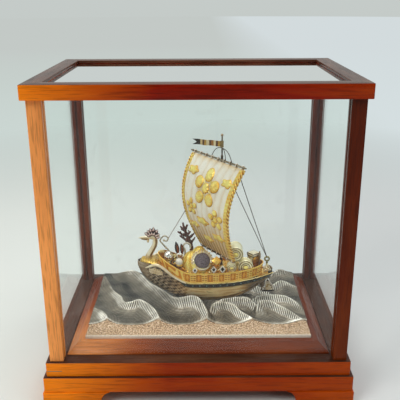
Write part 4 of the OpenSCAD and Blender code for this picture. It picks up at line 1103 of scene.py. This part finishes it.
def motif():
    """Three plain blossoms and six cloud scrolls."""
    ang = ring(48)[0]
    circle = stack([cos(ang), sin(ang)], 1)
    parts = []
    for a, z, k in BLOSSOMS:
        parts.append(plaque(a, z, 4.4 * k * circle * (1 + 0.1 * cos(10 * ang))[:, None], 1.6 * sqrt(k), 0.5))
        r = 5.4 * k * (1 - 0.1 * exp(-(ang - pi) ** 2 * 8) + 0.05 * cos(2 * ang))
        petal = circle * (1, 0.97) * r[:, None]
        for t in radians(arange(90, 379, 72)):
            way = array([(cos(t), sin(t)), (-sin(t), cos(t))])
            at = array([a, z]) + 10.6 * k * way[0]
            parts.append(plaque(*at, petal @ way, 1.5 * sqrt(k), 0.6))
        for t in radians(arange(126, 415, 72)):
            stem = linspace(4.6, 9, 8) * k
            parts.append(tube(sail_point(a + stem * cos(t), z + stem * sin(t), 0.9), 0.4 * sqrt(k), 8))
    for a, z, w, h in ((26, 149, 8, 4.2), (-32, 151, 8.5, 4.2), (-8, 100, 10, 4.6), (-25.5, 91, 7.5, 3.8),
                       (13, 86, 9.5, 4.4), (-8, 78, 8.5, 4)):
        parts.append(plaque(a, z, circle * (w, h) * (1 + 0.16 * cos(5 * ang))[:, None], 1.3, 0.25))
        q = linspace(0, 3.4 * pi, 60)
        r = 0.42 * h * (1 - 0.24 * q / pi)
        for side in BOTH:
            scroll = sail_point(a + side * (0.45 * w + r * cos(q)), z + 0.9 * r * sin(q), 1.75 - 0.25 * (r / h))
            parts.append(tube(scroll, 0.34, 6))
    aboard("sail_blossoms", parts, BRIGHT, "gold", "sail_motif")


def pennant():
    heading, length, fork = radians(156.6), 33.0, 28.0
    way = array([cos(heading), sin(heading), 0])
    out = array([-way[1], way[0], 0])
    v = linspace(-1, 1, 15)[None, :]
    s = mix(1.5, mix(length, fork, 1 - abs(v)), linspace(0, 1, 90)[:, None])
    wave = 0.7 * sin(s * 0.42) * smooth(s / 8) * (1 - 0.2 * v)
    mid = grid(MAST_X, 0, 183.2 + 2.9 * v) + way * s[..., None]
    front, back = (mid + out * (wave + side)[..., None] for side in (0.25, -0.25))
    flag = shell(front, back[:, ::-1], s / length, s[:, ::-1] / length)
    sleeve = lathe([(1.08, 180), (1.7, 180), (1.85, 180.4), (1.6, 180.9), (1.6, 185.5), (1.85, 186),
                    (1.7, 186.4), (1.08, 186.4), (1.08, 180)], 24, tint=0.03)
    aboard("pennant_strip", [flag, moved(sleeve, (MAST_X, 0, 0))], PENNANT, "pale_gold", "pennant",
           body="pennant", angle=50)


# ---------------- cargo

def heap_top(x, s):
    end = clip(abs((x - 13) / 53), 0, 1)
    h = 0.4 + (12.4 + 3.5 * smooth(-x, 5, 20)) * (1 - end ** 4) ** 0.6
    wide = maximum((half_beam(x) - 3.2) * sqrt(1 - end ** 6), 0.6)
    return wide * s, sheer(x) + 0.1 + h * (1 - 0.2 * s * s)


def heap():
    """The bed of treasure, with coins and beads strewn over it."""
    x = 13 - 52 * cos(linspace(0, pi, 120))[:, None]
    y, z = heap_top(x, linspace(-0.97, 0.97, 50)[None, :])
    lump = abs(sin(0.9 * x + 1.7 * sin(0.5 * y))) * abs(sin(0.95 * y + 0.8 * sin(0.7 * x)))
    # Painted shade in the hollows between the lumps and over the fore part round the jewels
    tone = (0.04 + 0.96 * lump ** 0.8) * mix(0.25, 1, smooth(x, -24, 14))
    bed = shell(grid(x, y, z + 1.5 * lump - 0.8), grid(x, y, sheer(x) + 0.1)[:, [-1, 0]], tone, 0.3)
    aboard("treasure_heap_bed", bed, GOLD, "gold", "treasure_heap", angle=60)
    bits = []
    for _ in range(230):
        x, s = RNG.uniform(-37, 62), RNG.uniform(-0.95, 0.95)
        y, z = heap_top(x, s)
        if np.hypot(x - 1.5, y + 1.5) < 15 or (x > 57 and abs(y) < 9):
            continue
        tilt = turn_xyz(*RNG.uniform(-50, 50, 2), RNG.uniform(0, 360))
        r = RNG.uniform(0.9, 1.9)
        if RNG.random() < 0.5:
            bit = lathe([(0, 0.35), (0.6 * r, 0.3), (0.8 * r, 0.5), (r, 0.4), (r, -0.4), (0, -0.4)], 16)
        else:
            bit = ball((0, 0, 0), 0.8 * r, 12, RNG.uniform(0.7, 1.1))
        bits.append(shaded(moved(bit, (x, y, z + 0.2), tilt), RNG.uniform(0.55, 1)))
    aboard("treasure_pieces", bits, PALE, "pale_gold")


def mound():
    """The sack-like mound and the boss set into its front."""
    mounds = []
    i, ang = steps(61), ring(140)
    grain, fold = sin(23 * ang + 0.5 * i) * sin(0.85 * i + 2 * sin(5 * ang)), sin(9 * ang + 0.06 * i)
    # Painted highlight on the fold ridges and weave, painted shade in their hollows
    relief, tint = 1 + 0.03 * sin(pi * i / 60) * fold + 0.022 * grain, 0.8 + 0.2 * fold + 0.28 * grain
    for at, points in (
            ((1.5, -1.5, 44.5), ((14.5, 0), (14.8, 2), (14.3, 7), (12.2, 12), (9.4, 17), (6.2, 21.5),
                                 (3.2, 24.5), (0.05, 25.5))),
            ((-6.5, -3, 44.5), ((11.2, 0), (11.4, 2), (11, 7), (9.8, 11.2), (7.6, 16), (4.5, 19),
                                (0.05, 20.5)))):
        mounds.append(moved(lathe(np.vstack([(0, 0), spline(points, 60)]), 140, relief, tint), at))
    aboard("treasure_mound", mounds, BRIGHT, "gold", "treasure_sack")

    golden = 2.39996
    dome = spline([(8.5, -0.9), (8, 1), (5.6, 3), (3, 4.1), (0.05, 4.5)], 24)
    boss = [lathe(np.vstack([(0, -1.5), (8.2, -1.5), dome]), 48, tint=0.35)]
    for k in range(1, 190):
        r = 8.0 * sqrt(k / 190)
        boss.append(ball((r * cos(golden * k), r * sin(golden * k), interp(r, *dome[::-1].T)), 0.5, 8, 0.9))
    rims = []
    for r, h in ((9.3, 0.2), (10.6, -0.9)):
        q = linspace(-0.3, pi + 0.3, 50)
        rims.append(tube(grid(r * cos(q), r * sin(q), h), 0.6, 8, relief=1 + 0.25 * sin(1.3 * steps(50))))
    for q in linspace(-0.1, pi + 0.1, 13):
        rims.append(ball((11.2 * cos(q), 11.2 * sin(q), -0.4), 1.25, 12, 1, 0.75))
    q = linspace(pi + 0.5, TURN - 0.5, 40)
    wide = 1.9 * sin(linspace(0.15, pi - 0.15, 40))
    saddle = tube(grid(9.6 * cos(q), 9.6 * sin(q), -0.4), wide, 12, flat=0.6)
    for name, shape, mat, slot, takes in (("mound_boss", join(*boss), STONE, "dark_stone", "sack_boss"),
                                          ("boss_rims", join(*rims), IVORY, "pale_gold", None),
                                          ("boss_saddle", saddle, IVORY, "pale_gold", None)):
        aboard(name, moved(shape, (4.6, -11.5, 57.3), turn_xyz(62, 0, 10)), mat, slot, takes)


def bales():
    rolls, hubs = [], []
    for x, y, z, l, r in ((40.6, 0, 63, 19.4, 8.5), (51.4, -8.4, 49.6, 10.4, 8.2), (36.4, -9, 48.6, 9.4, 5.2)):
        half = [(0, 0.7), (0.3, 0.7), (0.34, 0.5), (0.38, 0.1), (0.5, 0.1), (0.54, 0.5), (0.6, 0.5),
                (0.64, 0.1), (0.8, 0.1), (0.83, 0.5), (0.9, 0.5), (0.93, 0.4), (1, 1.2), (0.94, 2.2),
                (0.95, 0.3 * l), (0.99, 0.42 * l), (0.99, 0.5 * l)]
        profile = [(q * r, h) for q, h in half] + [(q * r, l - h) for q, h in half[::-1]]
        tone = [0.98 if h < 0.3 or q > 0.91 else 0.2 for q, h in half]
        weave = 0.012 * cos(24 * ring(48)) * (abs(steps(len(profile)) - 16.5) < 5)
        roll = lathe(profile, 48, 1 + weave, tone + tone[::-1])
        rolls.append(moved(roll, (x, y + l / 2, z), turn_xyz(90)))
        hubs += [ball((x, y + s * (l / 2 - 0.7), z), 0.36 * r, 16, 0.8) for s in BOTH]
    aboard("cargo_rolls", rolls, ROLL, "pale_gold", "cargo_bales")
    aboard("cargo_roll_hubs", hubs, BRIGHT, "gold")


def chest():
    boxes, straps = [], []
    for low, size in (((0, 0, 0), (9.6, 9, 16)), ((-0.5, -0.5, 16.2), (10.6, 10, 2.8))):
        half = array(size) / 2
        boxes.append(moved(block(size, 0.35), low + half))
        straps += [tube(low + half + (half - 0.2) * np.roll([(-1, p, q), (1, p, q)], i, 1), 0.38, 8, tint=0.3)
                   for i in range(3) for p in BOTH for q in BOTH]
    beads = [ball((-0.1, y, h), 0.75, 8, 1, RNG.uniform(0.5, 1)) for y in arange(1.2, 8.4, 1.5)
             for h in arange(1.4, 15.4, 1.5)]
    slats = [shaded(moved(block((9.9, 9.3, 0.9), 0.2), (4.8, 4.5, h)), 0.35) for h in (4, 8, 12)]
    tops = [moved(block((9.4 - 2.2 * k, 8.8 - 2.2 * k, 0.5), 0.15), (4.8, 4.5, 19.1 + 0.3 * k))
            for k in range(3)]
    for name, parts, mat, slot, takes in (
            ("chest_body", (shaded(boxes[0], 0.62), *slats), GOLD, "gold", "treasure_chest"),
            ("chest_lid", (boxes[1], *tops), IVORY, "silver", None),
            ("chest_edges", straps, DARK, "dark_metal", None),
            ("chest_beads", beads, IVORY, "pale_gold", None)):
        aboard(name, moved(join(*parts), (60, -3, 41), turn_xyz(0, 0, 37)), mat, slot, takes)


BALL_AT, PEARL_AT = (-32, -7, 61.6), (-20.4, -10.4, 55.6)


def jewels():
    t = linspace(0, pi, 22)
    groove = abs(cos(6 * ring(60) + 0.06 * steps(22))) ** 6
    ribbed = lathe(4.9 * stack([sin(t), -cos(t)], 1), 60, 1 - 0.05 * groove, 1 - 0.6 * groove)
    q = linspace(-0.7, 3.9, 40)
    loop = tube(grid(-19.6 + 3.1 * cos(q), -6.5 - 0.9 * sin(q), 61 + 2.9 * sin(q)), linspace(0.6, 1.1, 40), 10)
    ribbed = moved(ribbed, BALL_AT, turn_xyz(24, 16, 0))
    aboard("silver_ball", [ribbed, loop], SILVER, "silver", "jewels")
    t = linspace(0, pi, 24)
    pearl = lathe(stack([4 * sin(t) ** 0.94, -4 * cos(t) * (1 - 0.04 * cos(t))], 1), 40,
                  1 + 0.012 * sin(2 * ring(40) + 0.2 * steps(24)))
    aboard("pearl_ball", moved(pearl, PEARL_AT), PEARL, "pearl")
    seat = lathe([(2.6, -4.6), (3.6, -4.4), (3.7, -2.9), (3.3, -2.5), (2.4, -3.2), (2.6, -4.6)], 32)
    aboard("ball_seats", [moved(seat, BALL_AT), moved(seat, (*PEARL_AT[:2], 55.9))], GOLD, "gold")
    cube = moved(block((7.6, 7.6, 8), 0.8), (20, -9, 55), turn_xyz(50, 0, 0) @ turn_xyz(0, 0, 45))
    stand = moved(lathe([(0, 44), (2.4, 44), (2.4, 50), (3, 51), (0, 51)], 24), (20, -9, 0))
    aboard("gold_block", [cube, stand], ORANGE, "gold")
    rings, plates = [], []
    for x, y, z, r in ((26.4, -15.2, 48.6, 2.9), (17, -15.4, 48.2, 2.6), (-3.3, -16, 47.6, 2.2)):
        corner = array([(r, 0, 0), (0, 1.25 * r, 0), (-r, 0, 0), (0, -1.25 * r, 0)])
        loop = concatenate([mix(p, q, linspace(0, 1, 6, endpoint=False)[:, None])
                            for p, q in zip(corner, np.roll(corner, -1, 0))])
        rings.append(moved(tube(loop, 0.7, 10, loop=True), (x, y, z), turn_xyz(72)))
        plates.append(moved(prism(corner[:, :2] * 0.9, -0.35, 0.1), (x, y, z), turn_xyz(72)))
    aboard("rhombic_rings", rings, PEARL, "pearl")
    aboard("ring_plates", shaded(join(*plates), 0.2), DARK, "dark_metal")

    curl = arc((-12.3, 10.5, 64.6), 4.2, linspace(-0.52, 4.19, 50))
    stalk = tube([(-14.4, 10.5, 47), (-14.4, 10.5, 54), (-14.4, 10.5, 60.9)], 1, 12)
    hook = tube(curl, linspace(0.7, 1.3, 50), 12, up=BACKWARDS)
    aboard("deck_curl", [hook, stalk, ball(curl[0], 0.9, 12)], PEARL, "silver", "deck_ornaments")
    leaves = []
    for points in (((-21.5, 6, 48, 1), (-22, 6, 57, 1.3), (-22.8, 6, 63, 2.5), (-23.6, 6, 68.4, 1.9),
                    (-24.4, 6, 72.4, 0.2)),
                   ((-17.6, 6, 48, 1), (-17.6, 6, 57, 1.2), (-17.6, 6, 62.4, 2.1), (-18, 6, 66.8, 1.6),
                    (-18.6, 6, 70, 0.2))):
        z, ang = spline(points, 40)[:, 2:3], ring(20)
        # Dark leaves with a painted amber highlight down front and back, darker at the top
        tone = 0.7 - 0.9 * abs(cos(ang + 0.3)) * smooth(z, 56, 4) - 0.5 * smooth(z, 67, 3)
        leaves.append(rod(points, 40, 20, up=BACKWARDS, tint=clip(tone, 0.03, 1),
                          relief=1 - 0.12 * abs(sin(ang)) ** 8))
    aboard("deck_leaves", leaves, AMBER, "copper")


def coral():
    def branch(points, m, n, tint):
        knob = 1 + 0.1 * sin(1.9 * steps(m) + 2 * ring(n)) + 0.06 * sin(0.7 * steps(m) - 3 * ring(n))
        return rod(points, m, n, relief=knob, tint=tint)

    y = 14.5
    parts = [branch([(-10, y, 42, 2.3), (-7.2, y, 61.5, 2.1), (-11.4, y, 74.5, 1.8), (-15, y, 84, 1.5),
                     (-16.4, y, 90.6, 0.9)], 60, 14, 0.8), ball((-16.4, y, 90.6), 1.0, 12)]
    for x0, z0, x1, z1, y1 in (
            (-12, 75.5, -21.7, 81, 13), (-9.4, 69.5, -19.6, 75.4, 15), (-9, 68, -4.1, 72.4, 14),
            (-10.6, 73, -4.8, 77.4, 16), (-12.4, 77.5, -8.6, 81, 13), (-13.4, 81, -19, 86, 16),
            (-14, 83, -12, 89, 13), (-8.4, 65.6, -14, 69.4, 17)):
        points = [(x0, y, z0, 1.6), ((x0 + x1) / 2, (y + y1) / 2, (z0 + z1) / 2 - 0.8, 1.35), (x1, y1, z1, 0.9)]
        parts += [branch(points, 26, 10, 0.7), ball((x1, y1, z1), 0.95, 10)]
        for root in spline(points, 26)[[9, 15, 21], :3]:
            tip = root + array([RNG.uniform(-1.8, 1.8), RNG.uniform(-1.6, 1.6),
                                RNG.choice((-1, 1, 1)) * RNG.uniform(1.7, 2.8)])
            parts += [tube(linspace(root, tip, 6), linspace(1.0, 0.6, 6), 8, tint=0.9), ball(tip, 0.62, 8)]
    aboard("coral_branch", parts, CORAL, "red_coral", "coral")


bpy.context.scene.view_settings.view_transform = "Standard"
for make in (camera, ground, light, case, sea, sand, hull, gunwale, bulwark, bow, figurehead, stern, rudder,
             spars, sail, motif, pennant, heap, mound, bales, chest, jewels, coral):
    make()

bpy.context.view_layer.update()
